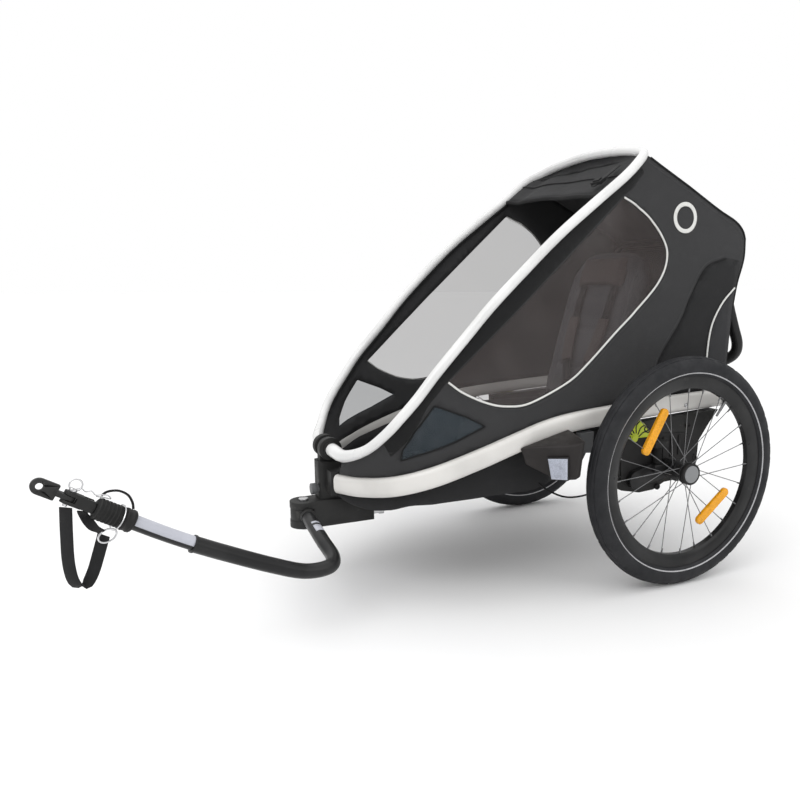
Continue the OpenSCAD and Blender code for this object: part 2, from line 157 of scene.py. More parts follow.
def flat_oval(w, h, n=24):
    """A rounded section, w wide and h high, that is squarer than an ellipse."""
    a = np.linspace(0, 2 * math.pi, n, endpoint=False)
    c, s = np.cos(a), np.sin(a)
    return np.column_stack([w / 2 * np.sign(c) * abs(c) ** 0.72, h / 2 * np.sign(s) * abs(s) ** 0.72])


def strip_section(w, t):
    """A flat strip's section with round edges."""
    k = t / 2
    return np.array([
        [-w / 2, -k / 2], [-w / 2 + k, -k], [w / 2 - k, -k], [w / 2, -k / 2], [w / 2, k / 2], [w / 2 - k, k],
        [-w / 2 + k, k], [-w / 2, k / 2],
    ])


class Shape:
    """Points and faces gathered from several forms, which become one piece."""

    def __init__(self):
        self.points, self.faces, self.slots = [], [], []

    def add(self, form, slot=0):
        points, faces = form
        start = len(self.points)
        self.points += [tuple(p) for p in points]
        self.faces += [[start + i for i in f] for f in faces]
        self.slots += [slot] * len(faces)
        return self


def sweep(path, section, side=None, up=None, grow=None, closed=False):
    """A section carried along a path. Its first direction keeps to side, or stays level when up is given."""
    path, section = np.array(path, float), np.array(section, float)
    n, m = len(path), len(section)
    ahead = np.roll(path, -1, 0) - np.roll(path, 1, 0) if closed else np.gradient(path, axis=0)
    ahead /= np.linalg.norm(ahead, axis=1)[:, None]
    across = np.array(side if side is not None else np.eye(3)[np.argmin(abs(ahead[0]))], float)
    points = []
    for i in range(n):
        t = ahead[i]
        wanted = np.cross(up, t) if up is not None else (side if side is not None else across)
        across = unit(wanted - t * np.dot(wanted, t))
        g = 1.0 if grow is None else grow[i]
        points.append(path[i] + g * (section[:, :1] * across + section[:, 1:] * np.cross(t, across)))
    faces = [
        [i * m + k, (i + 1) % n * m + k, (i + 1) % n * m + (k + 1) % m, i * m + (k + 1) % m]
        for i in range(n if closed else n - 1)
        for k in range(m)
    ]
    if not closed:
        faces += [list(range(m)), [(n - 1) * m + k for k in range(m - 1, -1, -1)]]
    return np.vstack(points), faces


def turned(profile, at, along=X, steps=48):
    """A form of revolution from pairs of a radius and a distance along the axis."""
    along = unit(along)
    a = unit(np.cross(along, Z if abs(along[2]) < 0.9 else X))
    b = np.cross(along, a)
    angles = np.linspace(0, 2 * math.pi, steps, endpoint=False)
    round_ = np.outer(np.cos(angles), a) + np.outer(np.sin(angles), b)
    points = np.vstack([np.array(at, float) + r * round_ + d * along for r, d in profile])
    faces = [
        [j * steps + k, j * steps + (k + 1) % steps, (j + 1) * steps + (k + 1) % steps, (j + 1) * steps + k]
        for j in range(len(profile) - 1)
        for k in range(steps)
    ]
    return points, faces


def joined(*rings):
    """Closed rings of equally many points, joined in order and capped at both ends."""
    n, last = len(rings[0]), len(rings) - 1
    faces = [
        [i * n + k, i * n + (k + 1) % n, (i + 1) * n + (k + 1) % n, (i + 1) * n + k]
        for i in range(last)
        for k in range(n)
    ]
    return np.vstack(rings), faces + [list(range(n))[::-1], list(range(last * n, (last + 1) * n))]


def prism(outline, low, high, axis=0):
    """An outline in the two other axes, made solid between low and high along one axis."""
    outline = np.array(outline, float)
    return joined(*(np.insert(outline, axis, value, axis=1) for value in (low, high)))


def block(low, high):
    (x0, y0, z0), (x1, y1, z1) = low, high
    return prism([[y0, z0], [y1, z0], [y1, z1], [y0, z1]], x0, x1)


def lattice(rows):
    """A sheet through rows of points, all of the same length."""
    rows = np.array(rows, float)
    n, m = rows.shape[:2]
    faces = [
        [i * m + j, i * m + j + 1, (i + 1) * m + j + 1, (i + 1) * m + j]
        for i in range(n - 1)
        for j in range(m - 1)
    ]
    return rows.reshape(-1, 3), faces


def inside(points, outline):
    """Which points lie inside a closed outline."""
    x, y = points[:, 0][:, None], points[:, 1][:, None]
    ax, ay = outline[:, 0], outline[:, 1]
    bx, by = np.roll(ax, -1), np.roll(ay, -1)
    crossed = (ay > y) != (by > y)
    slope = np.where(by == ay, 1, by - ay)
    return (crossed & (x < ax + (y - ay) * (bx - ax) / slope)).sum(1) % 2 == 1


def filled(outline, holes=(), spacing=14, edge=7):
    """Points and triangles that fill a flat outline around its holes."""
    loops = [loop(o, edge) for o in (outline, *holes)]
    low, high = loops[0].min(0), loops[0].max(0)
    gy, gz = np.meshgrid(np.arange(low[0], high[0], spacing), np.arange(low[1], high[1], spacing))
    grid = np.column_stack([gy.ravel(), gz.ravel()])
    rim = np.vstack(loops)
    near = np.sqrt(((grid[:, None] - rim[None]) ** 2).sum(2)).min(1) < spacing * 0.5
    keep = inside(grid, loops[0]) & ~near
    for hole in loops[1:]:
        keep &= ~inside(grid, hole)
    edges, start = [], 0
    for l in loops:
        edges += [(start + i, start + (i + 1) % len(l)) for i in range(len(l))]
        start += len(l)
    flat = [Vector(p) for p in np.vstack([rim, grid[keep]])]
    verts, _, faces, _, _, _ = delaunay_2d_cdt(flat, edges, [], 0, 1e-4)
    verts = np.array([v[:] for v in verts])
    centres = np.array([verts[list(f)].mean(0) for f in faces])
    good = inside(centres, loops[0])
    for hole in loops[1:]:
        good &= ~inside(centres, hole)
    return verts, [list(f) for f, g in zip(faces, good) if g]


def area_of(form):
    points, faces = np.array(form[0], float), form[1]
    total = 0.0
    for f in faces:
        p = points[f]
        total += sum(np.linalg.norm(np.cross(p[i] - p[0], p[i + 1] - p[0])) / 2 for i in range(1, len(f) - 1))
    return total


# ---- Pieces ----


def mesh_of(shape, name, side=LEFT):
    """A mesh in the frame's metres. The right side's is the left side's mirror image."""
    points = (np.array(shape.points, float) * [side, 1, 1] + [0, AXLE_Y, 0]) * MM
    faces = shape.faces if side == LEFT else [f[::-1] for f in shape.faces]
    mesh = bpy.data.meshes.new(name)
    mesh.from_pydata([tuple(p) for p in points], [], faces)
    mesh.polygons.foreach_set("material_index", shape.slots)
    made = bmesh.new()
    made.from_mesh(mesh)
    bmesh.ops.remove_doubles(made, verts=made.verts, dist=0.02 * MM)
    bmesh.ops.recalc_face_normals(made, faces=made.faces)
    made.to_mesh(mesh)
    made.free()
    return mesh


def finish_mesh(mesh, materials, sharp=38):
    for m in materials:
        mesh.materials.append(m)
    mesh.shade_smooth()
    mesh.set_sharp_from_angle(angle=math.radians(sharp))


def piece(shape, name, body, materials, replaces=(), bevel=0, thick=0, side=LEFT, sharp=38):
    """A finished piece: bevel rounds its edges, and thick gives a sheet its thickness."""
    shape = shape if isinstance(shape, Shape) else Shape().add(shape)
    mesh = mesh_of(shape, name, side)
    materials = materials if isinstance(materials, (list, tuple)) else [materials]
    finish_mesh(mesh, materials, sharp)
    made = bpy.data.objects.new(name, mesh)
    bpy.context.scene.collection.objects.link(made)
    if thick:
        wall = made.modifiers.new("thickness", "SOLIDIFY")
        wall.thickness, wall.offset = thick * MM, 0
    if bevel:
        round_edges(made, bevel)
    if body:
        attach(made, body)
    if replaces:
        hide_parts(*replaces)
    return made


def round_edges(obj, width, segments=3):
    edge = obj.modifiers.new("rounded edges", "BEVEL")
    edge.width, edge.segments = width * MM, segments
    edge.limit_method, edge.angle_limit = "ANGLE", math.radians(32)
    edge.use_clamp_overlap = True


HOOP_ACROSS = unit(np.cross(X, unit(np.array([0, -120, 864.0]) - HOOP_PIVOT)))


def folds_with_hoop(obj):
    """Fabric that moves with the hoop, given its own copy of its mesh."""
    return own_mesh(obj)


def folds_down(obj):
    """Soft things on the seat, given their own copy of their mesh."""
    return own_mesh(obj)


# ---- Materials ----


class Surface:
    """A procedural material: a Principled shader with helpers for its colour, roughness and bump."""

    def __init__(self, name, color, rough=0.5, metal=0.0, **sockets):
        self.material = bpy.data.materials.new(name)
        self.material.use_nodes = True
        self.nodes, self.links = self.material.node_tree.nodes, self.material.node_tree.links
        self.shader = self.nodes["Principled BSDF"]
        self.shader.inputs["Base Color"].default_value = (*color, 1)
        self.shader.inputs["Roughness"].default_value = rough
        self.shader.inputs["Metallic"].default_value = metal
        for socket, value in sockets.items():
            self.shader.inputs[socket.replace("_", " ")].default_value = value
        self.color, self.rough = color, rough
        self.place = self.nodes.new("ShaderNodeTexCoord").outputs["Object"]
        self.height = None

    def node(self, kind, **inputs):
        made = self.nodes.new(kind)
        for name, value in inputs.items():
            socket = made.inputs[name.replace("_", " ")]
            if isinstance(value, bpy.types.NodeSocket):
                self.links.new(value, socket)
            else:
                socket.default_value = value
        return made

    def noise(self, scale, detail=3.0, rough=0.5, stretch=(1, 1, 1)):
        """Noise with features of about 1 / scale metres."""
        place = self.node("ShaderNodeMapping", Vector=self.place, Scale=stretch).outputs[0]
        made = self.node("ShaderNodeTexNoise", Vector=place, Scale=scale, Detail=detail, Roughness=rough)
        return made.outputs[0]

    def ramp(self, value, low, high, start=0.0, end=1.0):
        made = self.node("ShaderNodeMapRange", Value=value)
        made.inputs["From Min"].default_value, made.inputs["From Max"].default_value = low, high
        made.inputs["To Min"].default_value, made.inputs["To Max"].default_value = start, end
        return made.outputs[0]

    def math(self, operation, a, b=0.0):
        made = self.nodes.new("ShaderNodeMath")
        made.operation = operation
        for socket, value in zip(made.inputs, (a, b)):
            if isinstance(value, bpy.types.NodeSocket):
                self.links.new(value, socket)
            else:
                socket.default_value = value
        return made.outputs[0]

    def tint(self, other, factor):
        """Mixes another colour in where factor is high."""
        mix = self.nodes.new("ShaderNodeMix")
        mix.data_type = "RGBA"
        self.links.new(factor, mix.inputs["Factor"])
        before = self.shader.inputs["Base Color"]
        if before.is_linked:
            self.links.new(before.links[0].from_socket, mix.inputs[6])
        else:
            mix.inputs[6].default_value = (*self.color, 1)
        mix.inputs[7].default_value = (*other, 1)
        self.links.new(mix.outputs[2], before)
        return self

    def roughen(self, low, high, value):
        self.links.new(self.ramp(value, 0.3, 0.7, low, high), self.shader.inputs["Roughness"])
        return self

    def bump(self, value, depth):
        """Adds relief, depth metres high where value goes from 0 to 1."""
        scaled = self.math("MULTIPLY", value, depth)
        self.height = scaled if self.height is None else self.math("ADD", self.height, scaled)
        return self

    def done(self):
        if self.height is not None:
            relief = self.node("ShaderNodeBump", Height=self.height, Distance=1.0, Strength=1.0)
            self.links.new(relief.outputs[0], self.shader.inputs["Normal"])
        return self.material


def paint(name, color, rough, coat, dust=0.05, metal=0.0):
    """Sprayed paint: a faint orange peel, uneven gloss and a little dust."""
    shine = 0.5 if max(color) > 0.1 else 0.22
    s = Surface(name, color, rough, metal, Coat_Weight=coat, Coat_Roughness=0.12, Specular_IOR_Level=shine)
    s.tint(tuple(c * 0.82 + 0.02 for c in color), s.ramp(s.noise(9, 4), 0.42, 0.75))
    s.tint((0.35, 0.33, 0.3), s.ramp(s.noise(38, 6, 0.7), 0.6, 0.95, 0, dust))
    s.roughen(rough * 0.8, rough * 1.3, s.noise(24, 4))
    return s.bump(s.noise(420, 2), 0.00006).bump(s.noise(1500, 1), 0.00001).done()


def plastic(name, color, rough=0.5, grain=0.00005, coat=0.0):
    """Moulded plastic with a fine spark-eroded grain, scuffed lighter in places."""
    s = Surface(name, color, rough, Coat_Weight=coat, Specular_IOR_Level=0.5 if max(color) > 0.1 else 0.22)
    s.tint(tuple(c * 1.5 + 0.008 for c in color), s.ramp(s.noise(14, 5, 0.6), 0.5, 0.8, 0, 0.6))
    s.tint((0.16, 0.15, 0.14), s.ramp(s.noise(90, 8, 0.8, (1, 4, 1)), 0.66, 0.8, 0, 0.25))
    s.roughen(rough * 0.85, rough * 1.2, s.noise(60, 3))
    return s.bump(s.noise(1800, 3), grain).bump(s.noise(260, 2), grain).done()


def metal(name, color, rough=0.3, brush=(1, 1, 1)):
    """Bare metal, brushed along one direction, with fine scratches."""
    s = Surface(name, color, rough, 1.0)
    s.tint(tuple(c * 0.6 for c in color), s.ramp(s.noise(160, 4, 0.7, brush), 0.5, 0.8, 0, 0.7))
    s.roughen(rough * 0.7, rough * 1.5, s.noise(300, 3, 0.6, brush))
    return s.bump(s.noise(900, 3, 0.6, brush), 0.00003).done()


def rubber(name, color, rough=0.75, dust=0.35):
    """Black rubber with a dusty bloom and a fine skin."""
    s = Surface(name, color, rough, Specular_IOR_Level=0.2)
    s.tint((0.04, 0.039, 0.038), s.ramp(s.noise(17, 6, 0.65), 0.45, 0.8, 0, dust))
    s.roughen(rough * 0.85, min(1, rough * 1.15), s.noise(50, 3))
    return s.bump(s.noise(700, 4, 0.7), 0.00012).done()


def cloth(name, color, thread=1.1, depth=0.00022, sheen=0.06, worn=0.3, rough=0.85):
    """Woven cloth: two sets of crossing threads, slubs, faint creases and uneven dye."""
    s = Surface(name, color, rough, Sheen_Weight=sheen, Sheen_Roughness=0.5, Specular_IOR_Level=0.12)
    wave = 2 * math.pi / (thread * MM)
    x, y, z = s.node("ShaderNodeSeparateXYZ", Vector=s.place).outputs
    warp = s.math("SINE", s.math("MULTIPLY", s.math("ADD", x, y), wave))
    weft = s.math("SINE", s.math("MULTIPLY", s.math("ADD", z, s.math("MULTIPLY", x, 0.7)), wave))
    weave = s.math("ADD", s.math("MULTIPLY", s.math("MULTIPLY", warp, weft), 0.5), 0.5)
    slub = s.noise(900, 2, 0.5, (1, 6, 0.6))
    s.tint(tuple(c * 1.5 + 0.006 for c in color), s.math("MULTIPLY", weave, s.ramp(slub, 0.3, 0.8, 0.2, 0.7)))
    s.tint(tuple(c * 0.68 for c in color), s.ramp(s.noise(5, 5, 0.6), 0.45, 0.8, 0, worn))
    s.tint(tuple(c * 1.5 + 0.01 for c in color), s.ramp(s.noise(33, 6, 0.7), 0.5, 0.85, 0, worn))
    s.bump(weave, depth).bump(slub, depth * 0.8)
    return s.bump(s.noise(21, 4, 0.55, (1, 1, 2.2)), 0.0012).done()


def webbing(name, color):
    """Heavy woven strap with ribs across it."""
    s = Surface(name, color, 0.7, Sheen_Weight=0.05, Specular_IOR_Level=0.15)
    x, y, z = s.node("ShaderNodeSeparateXYZ", Vector=s.place).outputs
    wave = 2 * math.pi / (2.2 * MM)
    ribs = s.math("SINE", s.math("MULTIPLY", s.math("ADD", z, s.math("MULTIPLY", y, 0.4)), wave))
    cross = s.math("SINE", s.math("MULTIPLY", s.math("ADD", x, y), wave * 0.8))
    relief = s.math("ADD", s.math("MULTIPLY", ribs, cross), 1.0)
    s.tint(tuple(c * 2.2 + 0.01 for c in color), s.ramp(relief, 0, 2, 0, 0.5))
    s.tint(tuple(c * 1.6 + 0.012 for c in color), s.ramp(s.noise(60, 5), 0.5, 0.8, 0, 0.4))
    return s.bump(relief, 0.0002).done()


def film(name, color, alpha, rough=0.18):
    """Flexible tinted window film with slight ripples."""
    s = Surface(name, color, rough, Alpha=alpha)
    s.tint(tuple(c * 1.8 + 0.004 for c in color), s.ramp(s.noise(13, 4), 0.45, 0.8, 0, 0.5))
    s.roughen(rough * 0.7, rough * 1.4, s.noise(40, 3))
    s.material.surface_render_method = "BLENDED"
    return s.bump(s.noise(12, 1, 0.3), 0.0007).done()


def reflector(name, color, alpha=1.0):
    """A moulded lens over rows of prisms."""
    s = Surface(name, color, 0.2, Coat_Weight=0.15, Coat_Roughness=0.08, Alpha=alpha, Specular_IOR_Level=0.3)
    cells = s.node("ShaderNodeTexVoronoi", Vector=s.place, Scale=420.0)
    cells.feature = "F1"
    prisms = cells.outputs["Distance"]
    s.tint(tuple(min(1, c * 1.35 + 0.002) for c in color), s.ramp(prisms, 0.2, 0.7, 0, 0.8))
    s.tint(tuple(c * 0.45 for c in color), s.ramp(s.noise(70, 4), 0.5, 0.8, 0, 0.5))
    return s.bump(prisms, 0.0004).done()


def tread_rubber():
    """The tyre's rubber: dusty in patches, with a fine bumpy skin."""
    s = Surface("tyre_rubber", (0.014, 0.0145, 0.0165), 0.62, Specular_IOR_Level=0.25)
    s.tint((0.036, 0.036, 0.039), s.ramp(s.noise(15, 6, 0.65), 0.42, 0.8, 0, 0.5))
    s.tint((0.1, 0.095, 0.09), s.ramp(s.noise(240, 5, 0.7), 0.62, 0.85, 0, 0.3))
    s.roughen(0.5, 0.8, s.noise(36, 4))
    return s.bump(s.noise(800, 4, 0.7), 0.00015).done()


HOOP_WHITE = paint("hoop_white", (0.74, 0.74, 0.735), 0.28, 0.5, 0.03)
RAIL_WHITE = paint("rail_white", (0.66, 0.645, 0.62), 0.36, 0.3, 0.06)
CAST_BLACK = paint("cast_black", (0.016, 0.016, 0.0155), 0.5, 0.0, 0.25)
TUBE_BLACK = paint("tube_black", (0.009, 0.009, 0.0095), 0.34, 0.1, 0.08)
MOULDED_BLACK = plastic("moulded_black", (0.014, 0.0135, 0.0135), 0.5)
GUARD_BLACK = plastic("guard_black", (0.019, 0.0165, 0.016), 0.46, 0.00008)
MOULDED_GREY = plastic("moulded_grey", (0.085, 0.087, 0.09), 0.42)
BUTTON_GREY = plastic("button_grey", (0.2, 0.205, 0.21), 0.38)
LIME = plastic("lime", (0.42, 0.5, 0.01), 0.38, 0.00003, 0.2)
STEEL = metal("steel", (0.62, 0.62, 0.63), 0.28)
SPOKE_STEEL = metal("spoke_steel", (0.2, 0.2, 0.205), 0.34)
BARE_ALUMINIUM = metal("bare_aluminium", (0.72, 0.73, 0.74), 0.34, (1, 6, 1))
RIM_BLACK = paint("rim_black", (0.01, 0.01, 0.0105), 0.34, 0.1, 0.1)
TYRE = tread_rubber()
TYRE_LINE = reflector("tyre_line", (0.34, 0.34, 0.35))
SOFT_RUBBER = rubber("soft_rubber", (0.012, 0.012, 0.012))
FOAM = rubber("foam", (0.009, 0.009, 0.009), 0.9, 0.2)
SHELL_CLOTH = cloth("shell_cloth", (0.037, 0.037, 0.0382))
LOWER_CLOTH = cloth("lower_cloth", (0.018, 0.018, 0.0188), 1.4)
SLEEVE_CLOTH = cloth("sleeve_cloth", (0.011, 0.011, 0.0115), 1.3, worn=0.15)
VISOR_CLOTH = cloth("visor_cloth", (0.024, 0.024, 0.025))
SEAT_CLOTH = cloth("seat_cloth", (0.075, 0.075, 0.082), 1.5, 0.0003)
SEAT_TRIM = cloth("seat_trim", (0.075, 0.06, 0.057), 1.5, 0.0003)
LINING = cloth("lining", (0.03, 0.03, 0.032), 1.2)
VENT_MESH = film("vent_mesh", (0.03, 0.042, 0.052), 0.62, 0.7)
WINDOW = film("window_film", (0.058, 0.047, 0.045), 0.5)
STRAP = webbing("strap", (0.009, 0.009, 0.0095))
PIPING = cloth("piping", (0.62, 0.62, 0.6), 0.9, 0.0001)
# Grey-white plastic for the blank label on the inner tow tube, also used for the painted highlights on the
# tow tube.
LABEL_AND_PAINTED_HIGHLIGHT = plastic("label", (0.44, 0.45, 0.50), 0.45, 0.00002)
AMBER = reflector("amber", (0.66, 0.29, 0.006))
CLEAR_LENS = reflector("clear_lens", (0.36, 0.38, 0.44))
THREAD = cloth("thread", (0.075, 0.075, 0.078), 0.5, 0.0001)

# ---- The cabin's side surface ----

HOOP = smooth_path(HOOP_HALF, 10)
RAIL = smooth_path(RAIL_POINTS, 10)
ROOF_EDGE = np.array([[-46, 908], [49, 861], [149, 812], [205, 788], [230, 768], [239, 749]], float)
REAR_EDGE = np.array(
    [[239, 749], [238, 715], [232, 690], [213, 636], [200, 544], [195, 440], [194, 410]], float
)
RECESS = np.array([[410, 200], [590, 203], [612, 188], [674, 188], [700, 226], [749, 234]], float)
CORNER_X = 184
WINDOW_LINE = [
    [-515, 462], [-485, 440], [-434, 417], [-388, 408], [-337, 412], [-250, 448], [-200, 484], [-130, 547],
    [-50, 615], [-8, 665], [6, 712], [-10, 750], [-45, 786], [-80, 808], [-118, 824],
]
VENT_LINE = [
    [-602, 309], [-576, 320], [-505, 344], [-440, 372], [-478, 392], [-543, 418], [-580, 368], [-600, 330],
]
HOOP_SIDE = HOOP[HOOP[:, 1] < -75]
HOOP_LINE = HOOP_SIDE[:, 1:]
TOP_LINE = np.vstack([HOOP_LINE, ROOF_EDGE])


def skin_x(y, z):
    """How far from the middle the side fabric is, at y and z."""
    low_x = np.interp(y, RAIL[:, 1], RAIL[:, 0] - 11)
    low_z = np.interp(y, RAIL[:, 1], RAIL[:, 2] + 12)
    high_x = np.interp(y, [*HOOP_SIDE[:, 1], -20, 60, 240], [*(HOOP_SIDE[:, 0] - 3), 231, 234, 231])
    high_z = np.interp(y, TOP_LINE[:, 0], TOP_LINE[:, 1])
    v = np.clip((z - low_z) / np.maximum(high_z - low_z, 20), 0, 1)
    ripples = 1.1 * np.sin(y / 47 + z / 63) * np.sin(z / 38 - y / 91)
    ripples += 0.5 * np.sin(y / 19 + 1.7 * np.sin(z / 31))
    return low_x * (1 - v) + high_x * v + np.sin(math.pi * v) * (2.5 + ripples)


def skin(flat, lift=0.0):
    """Places flat points (y, z) on the side fabric, lift outside it."""
    y, z = np.array(flat, float).T
    x = skin_x(y, z)
    slope_y, slope_z = skin_x(y + 2, z) - skin_x(y - 2, z), skin_x(y, z + 2) - skin_x(y, z - 2)
    normal = np.column_stack([np.full(len(x), 4.0), -slope_y, -slope_z])
    normal /= np.linalg.norm(normal, axis=1)[:, None]
    return np.column_stack([x, y, z]) + normal * lift


def skin_patch(outline, holes=(), lift=0.0, spacing=14, edge=7):
    flat, faces = filled(outline, holes, spacing, edge)
    return skin(flat, lift), faces


def skin_cord(line, r, lift, closed=False):
    """A round cord or welt that lies on the side fabric."""
    path = loop(line, 5) if closed else even(line, 5)
    return sweep(skin(path, lift), circle(r, 8), up=X, closed=closed)


def stitches(line):
    """A row of small stitches on the side fabric."""
    shape = Shape()
    spots = skin(even(line, 5.0), 1.2)
    for a, b in zip(spots, spots[1:]):
        stitch = [a + (b - a) * share for share in (0.14, 0.5, 0.86)]
        shape.add(sweep(stitch, circle(0.55, 5), side=X, grow=[0.5, 1, 0.5]))
    return shape


def sheet(form, name, body, look, replaces=(), thick=1.6, side=LEFT):
    """A piece that is one sheet of cloth or film. The flat size of its cut is worked out and left unused."""
    made = piece(form, name, body, look, replaces, thick=thick, side=side)
    points = np.array(form[0], float)
    size = np.sort(points.max(0) - points.min(0))[-2:]
    area = area_of(form)
    flat = np.round(size * max(1.0, math.sqrt(area / size.prod()) * 1.01) * MM, 3)
    share = area * MM**2 / flat.prod()
    flat[0] *= min(1, share / 0.31)
    if body == "hoop":
        folds_with_hoop(made)
    return made


def side_outline():
    bottom = RAIL[:, 1:][::-1] + [0, 12]
    front = HOOP_LINE[HOOP_LINE[:, 0] > -686]
    return np.vstack([front, ROOF_EDGE, REAR_EDGE[1:], bottom[bottom[:, 0] > -684]])


def rear_corner():
    """The fabric's return behind the side, with a recess around the handle's pivot."""
    rows = []
    for z in np.arange(411, 750, 9.0):
        edge_y = np.interp(z, REAR_EDGE[::-1, 1], REAR_EDGE[::-1, 0])
        back_y = np.interp(z, RECESS[:, 0], RECESS[:, 1])
        x0 = float(skin_x(np.array([edge_y - 3]), np.array([z]))[0])
        corner = [[x0, edge_y - 3], [x0 - 1, edge_y + 1], [x0 - 5, edge_y + 3], [x0 - 11, edge_y + 1]]
        back = [[x0 - 17, back_y + 1], [x0 - 30, back_y], [CORNER_X + 8, back_y], [CORNER_X, back_y - 1]]
        path = smooth_path(corner + back, 3)
        rows.append(np.column_stack([path, np.full(len(path), z)]))
    return lattice(rows)


def side_fabric(side, word):
    shell = Shape().add(skin_patch(side_outline(), [WINDOW_LINE, VENT_LINE])).add(rear_corner())
    shell_name, parts = f"side_shell_{word}", ["front_hoop", f"side_rail_{word}"]
    sheet((shell.points, shell.faces), shell_name, "hoop", SHELL_CLOTH,
          [f"side_panel_{word}"], side=side)
    windows = ["side_windows"] if side == LEFT else []
    for name, outline, lift, look, slot, nodes, thick in (
        ("window_film", WINDOW_LINE, -0.6, WINDOW, "window_film", windows, 0),
        ("vent_mesh", VENT_LINE, -0.6, VENT_MESH, None, [], 0),
        ("hoop_sleeve", sleeve_outline(), 1.4, SLEEVE_CLOTH, "side_fabric", [], 1.0),
        ("lower_rear_panel", LOWER_PANEL, 1.3, LOWER_CLOTH, "side_fabric", [], 1.0),
        ("side_pocket", POCKET_LINE, 3.2, LINING, "side_fabric", [], 1.2),
    ):
        form = skin_patch(outline, lift=lift, spacing=14 if name == "side_pocket" else 18)
        sheet(form, f"{name}_{word}", "hoop", look, nodes, thick, side)

    panel_edge = LOWER_PANEL[:6]
    cords = Shape()
    for line, r, lift in ((WINDOW_LINE, 2.1, 1.2), (POCKET_EDGE, 1.9, 4.4)):
        cords.add(skin_cord(smooth_path(line, 6), r, lift))
    welts = Shape()
    for line, r, lift in ((ROOF_EDGE, 2.6, 0.5), (REAR_EDGE, 2.2, 0.5), (panel_edge, 1.5, 1.8)):
        welts.add(skin_cord(smooth_path(line, 6), r, lift))
    welts.add(skin_cord(VENT_LINE, 1.6, 0.8, closed=True))
    seams = Shape()
    for line in (np.array(WINDOW_LINE) + [6, -7], ROOF_EDGE - [4, 9], panel_edge + [-5, 6]):
        row = stitches(smooth_path(line, 6))
        seams.add((row.points, row.faces))
    for shape, name, look, thick in (
        (cords, "piping", PIPING, 0),
        (welts, "welts", SLEEVE_CLOTH, 0),
        (seams, "stitching", THREAD, 0),
        (ring_patch((52, 790), 33, 24, 1.9), "reflective_ring", PIPING, 0.5),
    ):
        folds_with_hoop(piece(shape, f"{name}_{word}", "hoop", look, thick=thick, side=side))


def ring_patch(centre, outer, inner, lift):
    """A flat ring on the side fabric."""
    rows = [skin(np.array(centre) + circle(r, 64), lift) for r in np.linspace(outer, inner, 4)]
    return lattice([np.vstack([row, row[:1]]) for row in rows])


def sleeve_outline():
    """The dark band between the hoop and the window."""
    band = HOOP_LINE[(HOOP_LINE[:, 0] > -640) & (HOOP_LINE[:, 0] < -80)]
    inner = [[-62, 878], [-98, 842], [-122, 826], [-519, 462], [-556, 418], [-590, 352], [-618, 318]]
    return np.vstack([band, inner])


LOWER_PANEL = np.array(
    [[-14, 440], [-2, 490], [54, 571], [80, 625], [119, 684], [178, 706], [226, 700], [212, 640], [199, 544],
     [194, 440], [192, 412], [150, 406], [-30, 400]], float)
POCKET_EDGE = np.array([[206, 640], [171, 607], [147, 569], [135, 524], [131, 470], [130, 412]], float)
POCKET_LINE = np.vstack([POCKET_EDGE, [[192, 414], [195, 500], [201, 580]]])

for side, word in SIDES:
    side_fabric(side, word)


def roof():
    """One sheet from the hoop's top bar back over the rear edge, with a shallow crown."""
    profile = smooth_path([[-50, 908], *ROOF_EDGE, [239, 728], [236, 696]], 6)
    rows = []
    for y, z in profile:
        edge_x = float(skin_x(np.array([min(y, 236)]), np.array([z]))[0]) - 1
        c = np.linspace(-1, 1, 41)
        crown = 9 * (1 - c**2) * np.interp(y, [-50, 60, 238], [0.2, 1, 0.4])
        down = np.interp(z, [700, 780], [0, 1])
        ripples = 1.2 * np.sin(c * 21 + y / 30)
        rows.append(np.column_stack([edge_x * c, y + crown * (1 - down), z + crown * down + ripples]))
    sheet(lattice(rows), "roof_shell", "hoop", SHELL_CLOTH,
          ["roof_panel"])


roof()

# ---- Rolled front cover at the top of the hoop ----


def hoop_at(t):
    """The hoop's middle line: t is 0 at the knuckle and 1 at the middle of the top bar."""
    d = distances(HOOP)
    return np.array([np.interp(t * d[-1], d, column) for column in HOOP.T])


